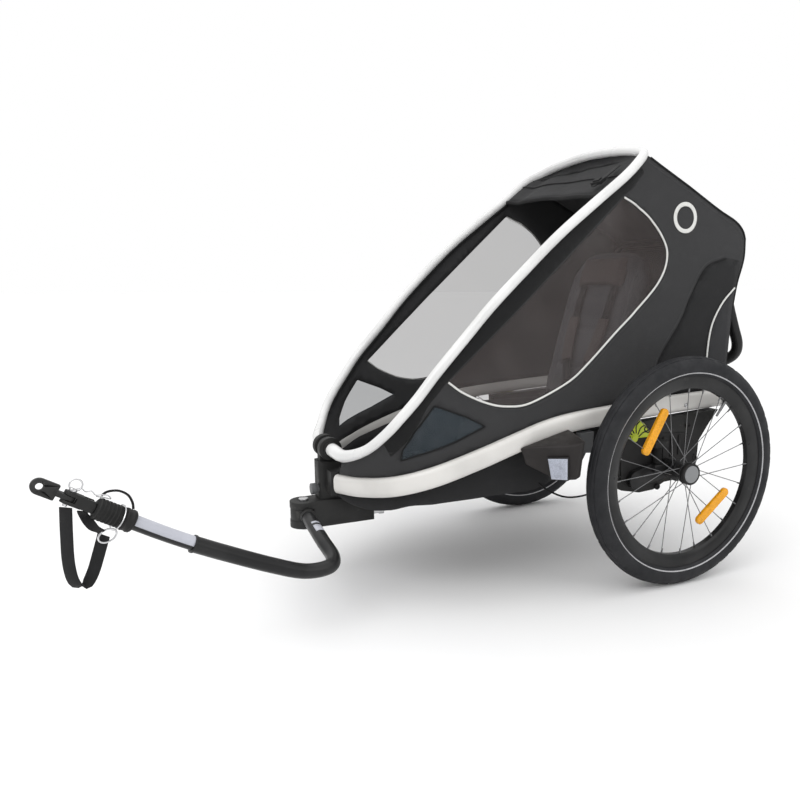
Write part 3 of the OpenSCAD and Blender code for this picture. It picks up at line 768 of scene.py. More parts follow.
def visor():
    """The raised front cover: a sheet stretched in the hoop's top, hemmed along its lower edge."""
    along = distances(HOOP) / distances(HOOP)[-1]
    c = np.linspace(-1, 1, 37)
    low = np.interp(np.interp(c, [-1, 0, 1], [-122, -140, -166]), HOOP[:, 1], along)
    high = np.interp(-38.1, HOOP[:, 1], along)
    rows = []
    for share in np.linspace(0, 1, 22):
        p = np.array([hoop_at(t) for t in low + (high - low) * share])
        sag = (1 - c**2) * 7 * math.sin(math.pi * (1 - share))
        folds = 1.3 * np.sin(c * 9 + share * 9) * (1 - c**2)
        folds += 6 * np.exp(-(((c + 0.74) * 8) ** 2)) * (1 - share)
        across = np.column_stack([p[:, 0] * c * 0.985, p[:, 1], p[:, 2]])
        rows.append(across + np.outer(sag + folds + 3, -HOOP_ACROSS * np.sign(HOOP_ACROSS[2])))
    sheet(lattice(rows), "front_cover", "hoop", VISOR_CLOTH, ["visor"])
    edge = np.array(rows[0])
    hem = Shape().add(sweep(even(edge + [0, -1, -2], 9), circle(3.4, 12, 4.6), up=Z))
    hem.add(sweep(even(np.array(rows[4]) + [0, -2.5, 1], 9), circle(1.3, 8), up=Z))
    for side in (LEFT, RIGHT):
        column = np.array([row[0 if side == RIGHT else -1] for row in rows])
        hem.add(sweep(even(column + [side * -3, -2, 0], 9), circle(3.0, 10), up=X))
    folds_with_hoop(piece(hem, "front_hem", "hoop", SLEEVE_CLOTH))
    up_sheet = unit(np.array(rows[8][18]) - rows[0][18])
    out = unit(np.cross(X, up_sheet))
    spot = np.array([181, -138, 857.0])
    clip = Shape()
    for w, h, d0, d1 in ((17, 8, 1, 8), (10, 5, 7, 11)):
        face = [spot + X * a * w + up_sheet * b * h for a, b in CORNERS]
        clip.add(joined(*([corner + out * d for corner in face] for d in (d0, d1))))
    strap = [spot + up_sheet * h + out * 3 for h in (-16, 0, 30, 62)]
    clip.add(sweep(strap, strip_section(16, 1.8), side=X))
    folds_with_hoop(piece(clip, "cover_buckle", "hoop", STRAP, bevel=1.2))


visor()

# ---- Hoop, rails and tubes ----


def hoop():
    path = smooth_path(both_halves(HOOP_HALF), 8)
    nose = np.where(path[:, 2] < 420, np.interp(abs(path[:, 0]), [60, 160], [1.4, 1]), 1)
    tube = sweep(path, circle(HOOP_D / 2, 28), up=unit([0, 0.697, -0.718]), grow=nose)
    piece(tube, "hoop_tube", "hoop", HOOP_WHITE, ["front_hoop"], sharp=60)
    keder = Shape()
    for side in (LEFT, RIGHT):
        line = HOOP[(HOOP[:, 1] > -640) & (HOOP[:, 1] < -90)] * [side, 1, 1]
        keder.add(sweep(even(line + [side * -6, 6.5, -7.5], 9), circle(3.6, 10), up=X))
    piece(keder, "hoop_keder", "hoop", SLEEVE_CLOTH)


def rails():
    for side, word in SIDES:
        path = smooth_path(RAIL_POINTS, 8)
        piece(sweep(path, flat_oval(RAIL_W, RAIL_H, 28), up=Z), f"rail_tube_{word}", "chassis", RAIL_WHITE,
              [f"side_rail_{word}"], side=side, sharp=60)
        cap = sweep([[250, 168, 391], [250, 170, 391], [250, 179, 391.4], [250, 181.5, 391.5]],
                    flat_oval(RAIL_W + 1.5, RAIL_H + 1.5, 28), up=Z, grow=[0.94, 1, 1, 0.9])
        names = ["rail_end_caps"] if side == LEFT else []
        piece(cap, f"rail_end_{word}", "chassis", BARE_ALUMINIUM, names, side=side)
        screws = Shape()
        for y in (-120, 60):
            z = float(np.interp(y, RAIL[:, 1], RAIL[:, 2]))
            screws.add(screw([250 + RAIL_W / 2 - 0.2, y, z - 4], X, 5))
        piece(screws, f"rail_screws_{word}", "chassis", STEEL, side=side)


def screw(at, along, r):
    """A round screw head with a round socket."""
    head = np.array([[0, 0], [1, 0], [1.02, 0.25], [0.86, 0.55], [0.5, 0.62], [0.46, 0.3], [0, 0.28]])
    return turned(head * r, at, along, 24)


def tubes():
    path = smooth_path(both_halves(REAR_FRAME_POINTS), 6)
    shape = Shape().add(sweep(path, circle(9, 20)))
    for side in (LEFT, RIGHT):
        boss = [[10.1, -9], [14, -9], [16, -7], [16, 7], [14, 9], [10.1, 9], [10.1, -9]]
        shape.add(turned(boss, [side * 178, 170, 391], X, 40))
    piece(shape, "rear_frame_tube", "rear_frame", TUBE_BLACK, ["rear_frame"], sharp=50)

    path = smooth_path(both_halves(HANDLE_POINTS), 8)
    shape = Shape().add(sweep(path, circle(HANDLE_D / 2, 26)))
    for side in (LEFT, RIGHT):
        eye = [[6.1, -8], [14, -8], [17, -6], [17, 6], [14, 8], [6.1, 8], [6.1, -8]]
        shape.add(turned(eye, [side * 204, 216, 648], X, 40))
    piece(shape, "handle_tube", "push_handle", TUBE_BLACK, ["push_handle"], sharp=50)
    ridges = [[13.3, -112], [15.6, -110]]
    for x in np.arange(-106, 106, 5.3):
        ridges += [[16.6, x], [16.6, x + 3.4], [15.9, x + 3.9], [15.9, x + 4.8]]
    grip = turned(ridges + [[15.6, 110], [13.3, 112]], [0, 240, 457], X, 40)
    piece(grip, "grip_foam", "push_handle", FOAM, ["handle_grip"], sharp=30)

    arm = smooth_path(ARM_POINTS, 8)
    shape = Shape().add(sweep(arm, circle(ARM_D / 2, 28), up=Z))
    ferrule = [[12.2, -1], [15.2, -1], [15.6, 1], [15.2, 3], [12.2, 3.4], [12.2, -1]]
    shape.add(turned(ferrule, arm[-1], arm[-1] - arm[-2], 40))
    piece(shape, "tow_tube", "tow_arm", TUBE_BLACK, ["tow_arm"], sharp=50)
    inner = smooth_path(INNER_ARM_POINTS, 10)
    piece(sweep(inner, circle(INNER_ARM_D / 2, 28), up=Z), "inner_tow_tube", "tow_arm", TUBE_BLACK,
          ["inner_tow_arm"], sharp=50)
    # Grey-white patches over the tow tube's top: painted highlights where the tube catches the light.
    painted_highlights = Shape()
    for start, end in ((0.125, 0.15), (0.165, 0.205)):
        part = arm[int(len(arm) * start): int(len(arm) * end) + 2]
        painted_highlights.add(tube_patch(part[:-1], np.diff(part, axis=0), ARM_D / 2, 120, 45))
    piece(painted_highlights, "tow_tube_painted_highlights", "tow_arm", LABEL_AND_PAINTED_HIGHLIGHT, thick=0.3)
    label = tube_patch(inner[2:-2], inner[3:-1] - inner[1:-3], INNER_ARM_D / 2, -12, 118, 13)
    piece(label, "blank_label", "tow_arm", LABEL_AND_PAINTED_HIGHLIGHT, thick=0.3)


def tube_patch(points, ahead, r, low, high, columns=9):
    """A thin patch on a tube of radius r, between two angles from the tube's left side over its top."""
    a = np.radians(np.linspace(low, high, columns))[:, None]
    rows = []
    for p, t in zip(points, ahead):
        left = unit(np.cross(Z, t))
        rows.append(p + (r + 0.35) * (np.cos(a) * left + np.sin(a) * np.cross(unit(t), left)))
    return lattice(rows)


hoop()
rails()
tubes()

# ---- Wheels ----


def tyre_form():
    """The tyre's ring: round sides, a reflective line and blocks of tread."""
    around, r = 288, TYRE_W / 2
    centre = TYRE_D / 2 - r
    line = math.degrees(math.acos((216 - centre) / r))
    wall = [*np.linspace(64, line - 4.2, 6), line - 3.4, line + 3.4, *np.linspace(line + 4.2, 142, 6)]
    angles = np.radians(sorted([*np.linspace(-60, 60, 33), *wall, *(-a for a in wall)]))
    turns = np.linspace(0, 2 * math.pi, around, endpoint=False)
    points, faces, slots = [], [], []
    for i, turn in enumerate(turns):
        for a in angles:
            deg = math.degrees(a)
            groove = 0.0
            if abs(deg) < 58:
                lane = 7 < abs(deg) < 13 or 31 < abs(deg) < 36
                cut = (i + (3 if abs(deg) > 33 else 0)) % 6 == 0
                groove = 1.5 if lane or cut and abs(deg) > 10 else 0.0
            radius = centre + (r - groove) * math.cos(a)
            x = TRACK / 2 + (r - groove) * math.sin(a)
            points.append([x, radius * math.sin(turn), AXLE_Z + radius * math.cos(turn)])
    m = len(angles)
    for i in range(around):
        for k in range(m - 1):
            faces.append([i * m + k, (i + 1) % around * m + k, (i + 1) % around * m + k + 1, i * m + k + 1])
            middle = abs(math.degrees((angles[k] + angles[k + 1]) / 2))
            slots.append(1 if abs(middle - line) < 3.5 else 0)
    return points, faces, slots


def wheels():
    axle = [TRACK / 2, 0, AXLE_Z]
    for side, word in SIDES:
        body = f"wheel_{word}"
        points, faces, slots = tyre_form()
        shape = Shape().add((points, faces))
        shape.slots = slots
        bead = [[213.5, -16.5], [210, -13.5], [209, -9], [209, 9], [210, 13.5], [213.5, 16.5]]
        shape.add(turned(bead, axle, X, 144))
        piece(shape, f"tyre_shell_{word}", body, [TYRE, TYRE_LINE], [f"tyre_{word}"],
              side=side, sharp=50)
        half = [[181.6, 0], [182, 6], [185, 8.5], [192, 10.6], [198, 11.8], [205, 12.4], [211, 12.6],
                [212.4, 12.2], [212.4, 10.6], [205, 10.3], [200, 8.5], [198, 0]]
        rim = half + [[r, -d] for r, d in half[-2::-1]]
        piece(turned(rim, axle, X, 144), f"rim_shell_{word}", body, RIM_BLACK, [f"rim_{word}"],
              side=side, sharp=30)
        nipples = Shape()
        for i in range(24):
            a = 2 * math.pi * i / 24
            # at_wheel() in the CAD source turns its own X towards -Z
            out = np.array([0, math.sin(a), -math.cos(a)])
            at = np.array(axle) + out * 183 + X * (3 if i % 2 == 0 else -3)
            nipples.add(turned([[0, -11], [1.5, -11], [1.7, -9], [2.2, 0], [2.2, 1]], at, out, 10))
        stem = np.array([0, math.sin(2.5), -math.cos(2.5)])
        valve = [[0, -38], [2.3, -38], [2.6, -36], [2.6, -24], [3.2, -23], [3.2, -3], [4.6, -2], [4.6, 1],
                 [0, 1]]
        nipples.add(turned(valve, np.array(axle) + stem * 182, stem, 16))
        piece(nipples, f"nipples_{word}", body, SPOKE_STEEL, side=side)
        hub = [[6.1, -22], [13, -22], [14.5, -20.5], [23, -20], [24, -18.5], [24, -16], [23, -15],
               [16.5, -14], [15, -10], [14.4, -3], [15, 4], [17, 8], [23, 9], [24, 10], [24, 12.4],
               [23, 13.4], [17, 14], [16, 16], [6.1, 16], [6.1, -22]]
        piece(turned(hub, axle, X, 64), f"hub_shell_{word}", body, RIM_BLACK, [f"hub_{word}"],
              side=side, sharp=30)
        reflectors = Shape()
        for turn, tilt, radius in ((222.5, 18, 131), (44.5, -6, 120)):
            base, out = (np.array([0, math.sin(a), -math.cos(a)]) for a in np.radians([turn, turn + tilt]))
            base = np.array(axle) + base * radius
            tangent = np.cross(X, out)
            outline = []
            for k, (sx, sy) in enumerate([(1, 1), (-1, 1), (-1, -1), (1, -1)]):
                for a in np.radians(np.linspace(90 * k, 90 * k + 90, 6)):
                    outline.append([44 * sx + 9 * math.cos(a), 1 * sy + 9 * math.sin(a)])
            for x0, x1, long, wide in ((1.6, 8.4, 1, 1), (8.2, 9.0, 0.95, 0.86)):
                flat = [base + tangent * p[0] * long + out * p[1] * wide for p in outline]
                reflectors.add(joined(*([p + X * x for p in flat] for x in (x0, x1))))
            for k in range(-4, 5):
                at = base + X * 9.0 + tangent * k * 8.6
                reflectors.add(turned([[0, 0], [0.9, 0], [0.7, 0.7], [0, 0.9]], at, X, 8))
        piece(reflectors, f"spoke_reflectors_{word}", body, AMBER,
              [f"wheel_reflectors_{word}"], bevel=1.0, side=side)


wheels()

# ---- Guards, housings and dials ----


def guards():
    top = np.array([[266, -376, 327], [300, -339, 332], [339, -297, 338], [346, -283, 342], [340, -269, 345],
                    [302, -262, 351], [266, -258, 356]])
    low = np.array([[264, -360, 290], [300, -327, 270], [331, -301, 266], [338, -287, 267], [333, -273, 270],
                    [300, -266, 276], [266, -264, 292]])
    corners = np.array(
        [[308.5, -324.9, 267.8], [333.5, -304.3, 269.6], [336.5, -307.5, 312.9], [306.5, -333, 309.3]]
    )
    out = unit(np.cross(corners[1] - corners[0], corners[3] - corners[0]))
    centre = corners.mean(0)
    for side, word in SIDES:
        shell = joined(*(top * (1 - share) + low * share for share in (0, 1 / 3, 2 / 3, 1)))
        piece(shell, f"guard_shell_{word}", "chassis", GUARD_BLACK, [f"wheel_guard_{word}"],
              bevel=4, side=side)
        plates = [
            joined(*(centre + (corners - centre) * share + out * d for d in (d0, d1)))
            for share, d0, d1 in ((1.12, -4, 1.6), (1.0, 0.5, 3.0))
        ]
        lens = Shape().add(plates[1])
        for k in np.linspace(0.08, 0.92, 12):
            a, b = (corners[i] * (1 - k) + corners[j] * k + out * 3.0 for i, j in ((0, 1), (3, 2)))
            rib = [a + (b - a) * share for share in (0.05, 0.5, 0.95)]
            lens.add(sweep(rib, circle(0.8, 6), side=unit(corners[1] - corners[0])))
        piece(plates[0], f"reflector_frame_{word}", "chassis", MOULDED_BLACK, bevel=1.2, side=side)
        names = ["front_reflectors"] if side == LEFT else []
        piece(lens, f"reflector_lens_{word}", "chassis", CLEAR_LENS, names, bevel=0.8,
              side=side)


def housings():
    for side, word in SIDES:
        shape = Shape()
        cover = [[-122, 236], [-104, 219], [-60, 212], [-20, 214], [8, 226], [40, 230], [78, 256], [82, 300],
                 [60, 322], [-60, 330], [-128, 322]]
        bolt = [[0, -2], [7, -2], [7, 3], [6, 4.2], [3.4, 4.2], [3.2, 1.5], [0, 1.5]]
        shape.add(prism(cover, 268, 272.5))
        for y, z in ((-128, 236), (-60, 340), (60, 338), (84, 262), (-20, 206)):
            shape.add(turned(bolt, [270, y, z], X, 24))
        for k in range(4):
            y = -12 + 22 * k
            shape.add(block([271, y, 268 + 3 * k], [275, y + 7, 318]))
        piece(shape, f"housing_details_{word}", "chassis", MOULDED_BLACK, bevel=1.2, side=side)
        strut = [[258, 128, 362], [257, 112, 330], [256, 96, 312], [256, 92, 296]]
        piece(sweep(strut, flat_oval(18, 22, 16), side=X), f"housing_struts_{word}", "chassis", CAST_BLACK,
              bevel=2.5, side=side)
        plate = prism([[-222, 300], [-194, 298], [-190, 344], [-226, 342]], 246, 263)
        piece(plate, f"housing_plate_{word}", "chassis", MOULDED_GREY, bevel=2, side=side)
        core = [[0, 0], [8.5, 0], [10, 4], [8.6, 9], [10.2, 14], [8.6, 19], [10.2, 24], [8.6, 29], [10, 34],
                [8.5, 38], [0, 38]]
        made = piece(turned(core, [283, -34, 262], Z, 32), f"elastomer_{word}", "chassis", SOFT_RUBBER,
                     [f"spring_{word}"], side=side)
        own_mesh(made)
        stripes = Shape()
        for k in range(6):
            r = np.linspace(11, 38, 9)
            bend = np.radians(14 + 29 * k + 12 * np.sin((r - 11) / 27 * math.pi))
            path = np.column_stack([np.full(9, 273.6), -91 + r * np.cos(bend), 322 + r * np.sin(bend)])
            stripes.add(sweep(path, strip_section(2.8, 0.9), up=X))
        piece(stripes, f"dial_stripes_{word}", f"load_dial_{word}", MOULDED_BLACK, side=side)


guards()
housings()

# ---- Floor, seat and harness ----


def floor_sling():
    """The floor: one coated sheet that hangs between the rails and drops into the footwell."""
    profile = smooth_path([[-684, 232], [-676, 206], [-640, 196], [-606, 206], [-560, 217], [-430, 220],
                           [-300, 223], [-268, 252], [-248, 296], [-120, 303], [122, 303]], 6)
    rows = []
    for y, z in profile:
        half = np.interp(y, [-682, -657, -612, -548, -463, 122], [56, 104, 176, 220, 227, 227])
        rim = np.interp(y, [-682, -657, -612, -548, -463, -380, -310, -255, 122],
                        [238, 240, 252, 274, 302, 322, 336, 342, 342])
        c = np.linspace(-1, 1, 45)
        wall = np.clip((abs(c) - 0.80) / 0.20, 0, 1)
        x = half * np.sign(c) * np.minimum(1, abs(c) / 0.84)
        height = z + (rim - z) * wall**1.5 - 2.5 * (1 - wall) * np.cos(c * 1.4)
        rows.append(np.column_stack([x, np.full(45, y), height]))
    sheet(lattice(rows), "floor_sling", "chassis", LOWER_CLOTH,
          ["floor_tray"], thick=2)
    outline = [[-150, -560], [150, -560], [190, -500], [190, -320], [-190, -320], [-190, -500]]
    mat = Shape().add(prism(outline, 226, 229, 2))
    for y in range(-540, -330, 18):
        mat.add(block([-150, y, 228.5], [150, y + 8, 231]))
    piece(mat, "foot_mat", "chassis", SOFT_RUBBER, bevel=1)


def puffed(form, name, cap=9, voxel=6, pressure=4.0):
    """A stuffed form: remeshed, blown up as cloth for 20 frames, with each point's move capped."""
    mesh = mesh_of(Shape().add(form), name)
    obj = bpy.data.objects.new(name, mesh)
    scene = bpy.context.scene
    scene.collection.objects.link(obj)
    remesh = obj.modifiers.new("voxels", "REMESH")
    remesh.mode, remesh.voxel_size = "VOXEL", voxel * MM

    def taken():
        return bpy.data.meshes.new_from_object(obj.evaluated_get(bpy.context.evaluated_depsgraph_get()))

    obj.data = taken()
    obj.modifiers.clear()
    before = np.array([v.co for v in obj.data.vertices])
    blown = obj.modifiers.new("cloth", "CLOTH")
    blown.settings.use_pressure = True
    blown.settings.uniform_pressure_force = pressure
    blown.settings.effector_weights.gravity = 0
    for number in range(1, 21):
        scene.frame_set(number)
    after = np.array([v.co for v in taken().vertices])
    obj.modifiers.clear()
    scene.frame_set(1)
    move = after - before
    size = np.linalg.norm(move, axis=1)[:, None]
    move *= np.minimum(1, cap * MM / np.maximum(size, 1e-9))
    obj.data.vertices.foreach_set("co", (before + move).astype(np.float32).ravel())
    obj.data.update()
    return obj


def sewn(obj, depth_at):
    """Pulls the surface in along sewn channels. depth_at gives each point's depth from its place."""
    mesh = obj.data
    places = np.array([v.co for v in mesh.vertices]) / MM - [0, AXLE_Y, 0]
    normals = np.array([v.normal for v in mesh.vertices])
    moved = places - normals * depth_at(places)[:, None] + [0, AXLE_Y, 0]
    mesh.vertices.foreach_set("co", (moved * MM).astype(np.float32).ravel())
    mesh.update()


def groove(distance, width=7.0, depth=5.0):
    return depth * np.exp(-((distance / width) ** 2))


def settle(obj, body, material, nodes):
    """Makes a puffed form a finished piece."""
    finish_mesh(obj.data, [material], 60)
    soft = obj.modifiers.new("smooth", "SUBSURF")
    soft.levels = soft.render_levels = 1
    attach(obj, body)
    if nodes:
        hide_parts(*nodes)
    return obj


def seat():
    outline = [[-246, 310], [-240, 330], [-228, 334], [-52, 334], [-44, 310]]
    cushion = puffed(prism(outline, -158, 158), "seat_pad", 7)
    sewn(cushion, lambda p: sum(groove(abs(p[:, 0]) - x) for x in (52, 118)) * (p[:, 2] > 322))
    settle(cushion, "chassis", SEAT_CLOTH, ["seat_cushion"])
    folds_down(cushion)

    lean = unit([0, 110, 386])
    normal = unit([0, -386, 110])
    base = np.array([0, -50, 352.0])

    def on_back(x, t, d):
        """A place on the leaning back: x across it, t up it and d out of its front."""
        return base + X * x + lean * t + normal * d

    outline = [(-140, 0), (140, 0), (150, 40), (154, 200), (148, 330), (112, 384), (60, 396), (-60, 396),
               (-112, 384), (-148, 330), (-154, 200), (-150, 40)]
    rest = puffed(joined(*([on_back(x, t, d) for x, t in outline] for d in (10, -14))), "seat_rest", 10)

    def channels(p):
        t = (p - base) @ lean
        facing = (p - base) @ normal > 0
        depth = sum(groove(t - at) for at in (95, 190, 285)) * (abs(p[:, 0]) < 106)
        return (depth + groove(abs(p[:, 0]) - 108)) * facing

    sewn(rest, channels)
    settle(rest, "chassis", SEAT_CLOTH, ["seat_back"])
    folds_down(rest)
    outline = [(-88, 292), (88, 292), (96, 330), (80, 372), (-80, 372), (-96, 330)]
    head = puffed(joined(*([on_back(x, t, d) for x, t in outline] for d in (26, 20))), "head_pad", 8, 5)
    settle(head, "chassis", SEAT_TRIM, [])
    folds_down(head)

    belts = Shape()
    pads = Shape()
    over = [(10, 42, 36), (38, 92, 33), (56, 170, 30), (60, 260, 26), (58, 318, 22)]
    lap = [(12, 28, 38), (60, 12, 34), (110, 4, 30), (146, 2, 14)]
    for side in (LEFT, RIGHT):
        path, around = (
            smooth_path([on_back(side * x, t, d) for x, t, d in points], 8) for points in (over, lap)
        )
        belts.add(sweep(even(path, 8), strip_section(25, 1.8), side=X))
        belts.add(sweep(around, strip_section(25, 1.8), side=lean))
        pads.add(sweep(even(path, 8)[9:24], strip_section(38, 9), side=X))
    crotch = smooth_path([on_back(0, t, d) for t, d in ((34, 39), (8, 42), (-4, 62), (-6, 96))], 8)
    belts.add(sweep(crotch, strip_section(24, 1.8), side=X))
    folds_down(piece(belts, "harness_belts", "chassis", STRAP, ["harness"]))
    folds_down(piece(pads, "shoulder_pads", "chassis", SEAT_TRIM, bevel=2.5))
    buckle = Shape()
    outline = ((-1, -1), (1, -1), (1, 0.6), (0.7, 1), (-0.7, 1), (-1, 0.6))
    for w, h, d0, d1 in ((20, 22, 38, 47), (14, 15, 46, 50)):
        buckle.add(joined(*([on_back(a * w, 36 + b * h, d) for a, b in outline] for d in (d0, d1))))
    folds_down(piece(buckle, "harness_buckle", "chassis", MOULDED_BLACK, bevel=1.6))


def rear_fabric():
    """The back panel between the rear frame's legs, with a gathered pocket."""
    rows = []
    for z in np.linspace(415, 742, 30):
        leg = np.interp(z, [404, 480, 640, 712, 742], [172, 176, 182, 190, 200])
        c = np.linspace(-1, 1, 41)
        y = leg + 10.5 + 2.5 * (1 - c**2) + 0.9 * np.sin(c * 17 + z / 40)
        y = np.where(abs(c) > 0.965, leg + 8, y)
        rows.append(np.column_stack([c * 186, y, np.full(41, z)]))
    sheet(lattice(rows), "rear_shell", "rear_frame", SHELL_CLOTH,
          ["rear_panel"])
    rows = []
    for z in np.linspace(418, 610, 24):
        leg = np.interp(z, [404, 480, 640], [172, 176, 182])
        c = np.linspace(-1, 1, 41)
        v = (z - 418) / 192
        bulge = (1 - abs(c) ** 4) * math.sin(math.pi * min(1, v * 0.86 + 0.06)) * (15 + 1.6 * np.sin(c * 23))
        rows.append(np.column_stack([c * 158, leg + 14.5 + bulge, np.full(41, z)]))
    sheet(lattice(rows), "rear_pocket", "rear_frame", LOWER_CLOTH)
    rim = np.array(rows[-1])
    edge = Shape().add(sweep(rim + [0, 0.5, 0], circle(3.2, 10), up=Z))
    for x in (-60, 60):
        strap = [[x, rim[20][1] + y, z] for y, z in ((-5, 655), (1, 625), (3.4, 560))]
        edge.add(sweep(strap, strip_section(22, 1.8), side=X))
    piece(edge, "pocket_hem", "rear_frame", SLEEVE_CLOTH)


floor_sling()
seat()
rear_fabric()

# ---- Hitch ----


def coupler(s, across=0.0, lift=0.0):
    """A place on the hitch: s along its axis, across it to the trailer's left, and lift out of its top."""
    flat = unit(np.cross(Z, COUPLER_DIR))
    return COUPLER_START + s * COUPLER_DIR - across * flat + lift * np.cross(COUPLER_DIR, flat)


def flexes(obj):
    """A piece on the rubber barrel, with its placement baked into its mesh."""
    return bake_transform(obj)


def hitch():
    barrel = [[0, 20], [15, 20], [17.4, 22]]
    for k in range(7):
        s = 24 + k * 6
        barrel += [[17.4, s], [17.4, s + 3], [15.6, s + 3.6], [15.6, s + 5.4]]
    barrel += [[16.4, 66], [13, 68], [0, 68]]
    piece(turned(barrel, COUPLER_START, COUPLER_DIR, 40), "coupler_sleeve", "tow_arm", SOFT_RUBBER,
          sharp=30)
    collar = [[12.3, 6], [16, 6], [18, 8], [18.6, 12], [17.6, 14], [17.6, 18], [18.6, 20], [18, 23], [16, 24],
              [12.3, 24], [12.3, 6]]
    piece(turned(collar, COUPLER_START, COUPLER_DIR, 40), "collar_shell", "tow_arm", MOULDED_BLACK,
          ["arm_collar"], sharp=30)
    wires = Shape()
    ring = [
        coupler(30 + 3 * math.cos(a), 20.5 * math.cos(a), 20.5 * math.sin(a) - 1.5)
        for a in np.linspace(0, 2 * math.pi, 40, endpoint=False)
    ]
    wires.add(sweep(ring, circle(1.1, 8), closed=True))
    bends = [(104, 2, 16), (98, 3, 19), (90, 2, 17), (84, 1, 21), (76, 0, 18), (70, -1, 21), (60, -2, 24),
             (54, -1, 21), (62, 1, 19), (74, 2, 16)]
    wires.add(sweep(smooth_path([coupler(*bend) for bend in bends], 6), circle(1.0, 8)))
    flexes(piece(wires, "wire_clips", None, STEEL))
    bends = [(14, 4, 18), (20, 6, 27), (32, 5, 35), (48, 3, 36), (62, 2, 29), (68, 1, 20)]
    lanyard = sweep(smooth_path([coupler(*bend) for bend in bends], 8), circle(2.0, 8))
    piece(lanyard, "lanyard", "tow_arm", SOFT_RUBBER)
    d_ring = [
        [296, -1128 + 13 * math.cos(a), 268 + 10 * math.sin(a) + 3 * math.cos(a)]
        for a in np.linspace(0, 2 * math.pi, 30, endpoint=False)
    ]
    piece(sweep(d_ring, circle(1.6, 8), side=X, closed=True), "d_ring", "tow_arm", STEEL)
    strap = Shape()
    path = smooth_path([[296, -1181, 320], [296, -1183, 280], [296, -1184, 235], [296, -1180, 205],
                        [295, -1171, 193], [293, -1161, 196], [291, -1151, 214], [290, -1142, 240],
                        [290, -1133, 268]], 6)
    strap.add(sweep(even(path, 6), strip_section(21, 2.2), side=unit([0.55, 0.83, 0.1])))
    short = smooth_path([coupler(80, 6, -13), coupler(72, 10, -20), [294, -1146, 284], [295, -1134, 274]], 6)
    strap.add(sweep(short, strip_section(16, 2.2), side=unit([0.55, 0.83, 0.1])))
    flexes(piece(strap, "strap_loop", None, STRAP, ["safety_strap"]))


hitch()

# ---- CAD nodes that stay, with rounded edges and their materials ----

KEPT = {
    "nose_casting": (CAST_BLACK, 3), "drawbar_base": (CAST_BLACK, 3.5), "pivot_bolts": (STEEL, 0.8),
    "axle_beam": (TUBE_BLACK, 0), "rear_cross_tube": (TUBE_BLACK, 0), "brake_cable": (SOFT_RUBBER, 0),
    "hoop_knuckle": (CAST_BLACK, 2.2), "release_knob": (MOULDED_GREY, 1.6), "arm_knuckle": (CAST_BLACK, 1.5),
    "hitch_clevis": (CAST_BLACK, 1.0), "hitch_link": (CAST_BLACK, 1.4), "hitch_pin": (STEEL, 0.4),
    "flex_coupler": (CAST_BLACK, 0.8), "handle_knobs": (MOULDED_BLACK, 1.0),
}
for _, word in SIDES:
    KEPT |= {
        f"suspension_housing_{word}": (CAST_BLACK, 3), f"load_dial_{word}": (LIME, 0.6),
        f"swing_arm_{word}": (TUBE_BLACK, 2), f"spokes_{word}": (SPOKE_STEEL, 0),
        f"hub_cap_{word}": (MOULDED_BLACK, 1), f"release_button_{word}": (BUTTON_GREY, 1.2),
    }
for name, (look, width) in KEPT.items():
    node = frame["nodes"][name]
    node.data.materials.clear()
    node.data.materials.append(look)
    node.data.shade_smooth()
    node.data.set_sharp_from_angle(angle=math.radians(30))
    if width:
        weld = node.modifiers.new("weld", "WELD")
        weld.merge_threshold = 0.01 * MM
        round_edges(node, width, 2)

# ---- Floor, light and camera ----


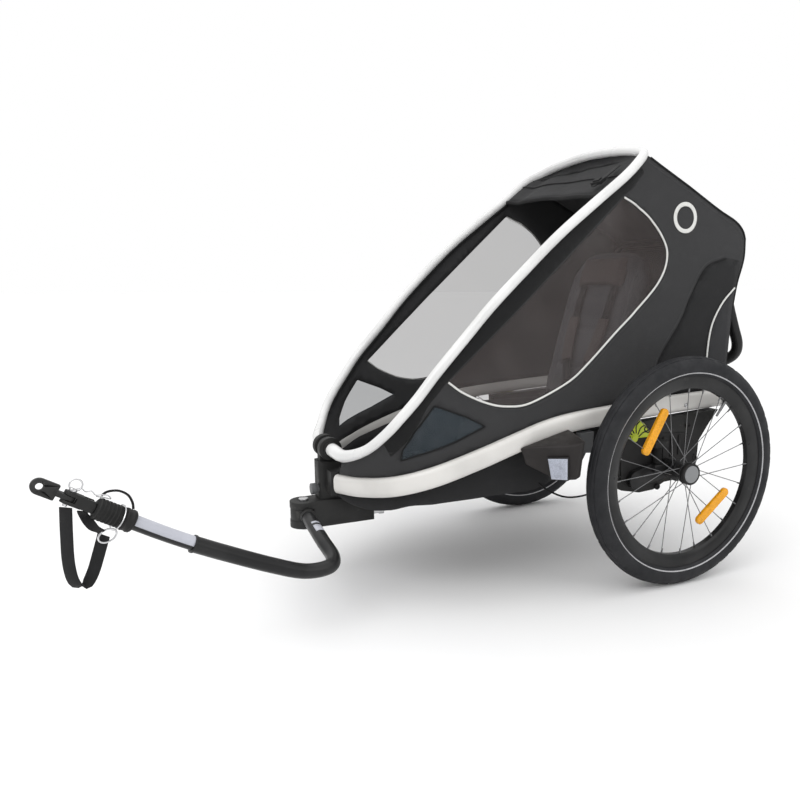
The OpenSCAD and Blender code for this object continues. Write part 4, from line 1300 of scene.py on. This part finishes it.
def set_stage():
    ground = bpy.data.objects.new("floor", bpy.data.meshes.new("floor"))
    r = 60
    ground.data.from_pydata([(-r, -r, 0), (r, -r, 0), (r, r, 0), (-r, r, 0)], [], [(0, 1, 2, 3)])
    pale = Surface("pale_floor", (0.86, 0.86, 0.86), 0.8, Specular_IOR_Level=0.1)
    pale.tint((0.85, 0.85, 0.855), pale.ramp(pale.noise(2, 3), 0.4, 0.7))
    ground.data.materials.append(pale.done())
    bpy.context.scene.collection.objects.link(ground)
    world = bpy.data.worlds.new("studio")
    world.use_nodes = True
    nodes, links = world.node_tree.nodes, world.node_tree.links
    lit, seen = nodes["Background"], nodes.new("ShaderNodeBackground")
    place, split = nodes.new("ShaderNodeTexCoord"), nodes.new("ShaderNodeSeparateXYZ")
    rise, mix = nodes.new("ShaderNodeMapRange"), nodes.new("ShaderNodeMixShader")
    ray = nodes.new("ShaderNodeLightPath")
    rise.inputs["From Min"].default_value, rise.inputs["From Max"].default_value = -0.05, 1.0
    rise.inputs["To Min"].default_value, rise.inputs["To Max"].default_value = 0.35, 1.65
    links.new(place.outputs["Generated"], split.inputs[0])
    links.new(split.outputs[2], rise.inputs["Value"])
    links.new(rise.outputs[0], lit.inputs["Strength"])
    lit.inputs["Color"].default_value = seen.inputs["Color"].default_value = (1, 1, 1, 1)
    seen.inputs["Strength"].default_value = 1.0
    links.new(ray.outputs["Is Camera Ray"], mix.inputs[0])
    links.new(lit.outputs[0], mix.inputs[1])
    links.new(seen.outputs[0], mix.inputs[2])
    links.new(mix.outputs[0], nodes["World Output"].inputs["Surface"])
    bpy.context.scene.world = world
    for name, at, size, power in (("key", (1.6, -2.2, 2.6), 1.8, 24), ("side", (2.6, 1.4, 1.5), 1.4, 8)):
        lamp = bpy.data.lights.new(name, "AREA")
        lamp.size, lamp.energy = size, power
        holder = bpy.data.objects.new(name, lamp)
        holder.location = at
        holder.rotation_euler = (Vector((0, 0.1, 0.4)) - Vector(at)).to_track_quat("-Z", "Y").to_euler()
        bpy.context.scene.collection.objects.link(holder)


def set_camera():
    """The fitted viewpoint: 1.7 m from the trailer, ahead of its left side, looking 10 degrees down."""
    lens = bpy.data.cameras.new("camera")
    lens.sensor_width, lens.lens = 36, 33.4
    lens.shift_x, lens.shift_y = -0.0623, 0.0209
    camera = bpy.data.objects.new("camera", lens)
    camera.location = (Vector((1505, -1132, 647)) + Vector((0, AXLE_Y, 0))) * MM
    heading, pitch = math.radians(154.06), math.radians(-10.08)
    level = math.cos(pitch)
    ahead = Vector((math.cos(heading) * level, math.sin(heading) * level, math.sin(pitch)))
    camera.rotation_euler = ahead.to_track_quat("-Z", "Y").to_euler()
    bpy.context.scene.collection.objects.link(camera)
    bpy.context.scene.camera = camera


set_stage()
set_camera()
bpy.context.scene.view_settings.view_transform = "Standard"
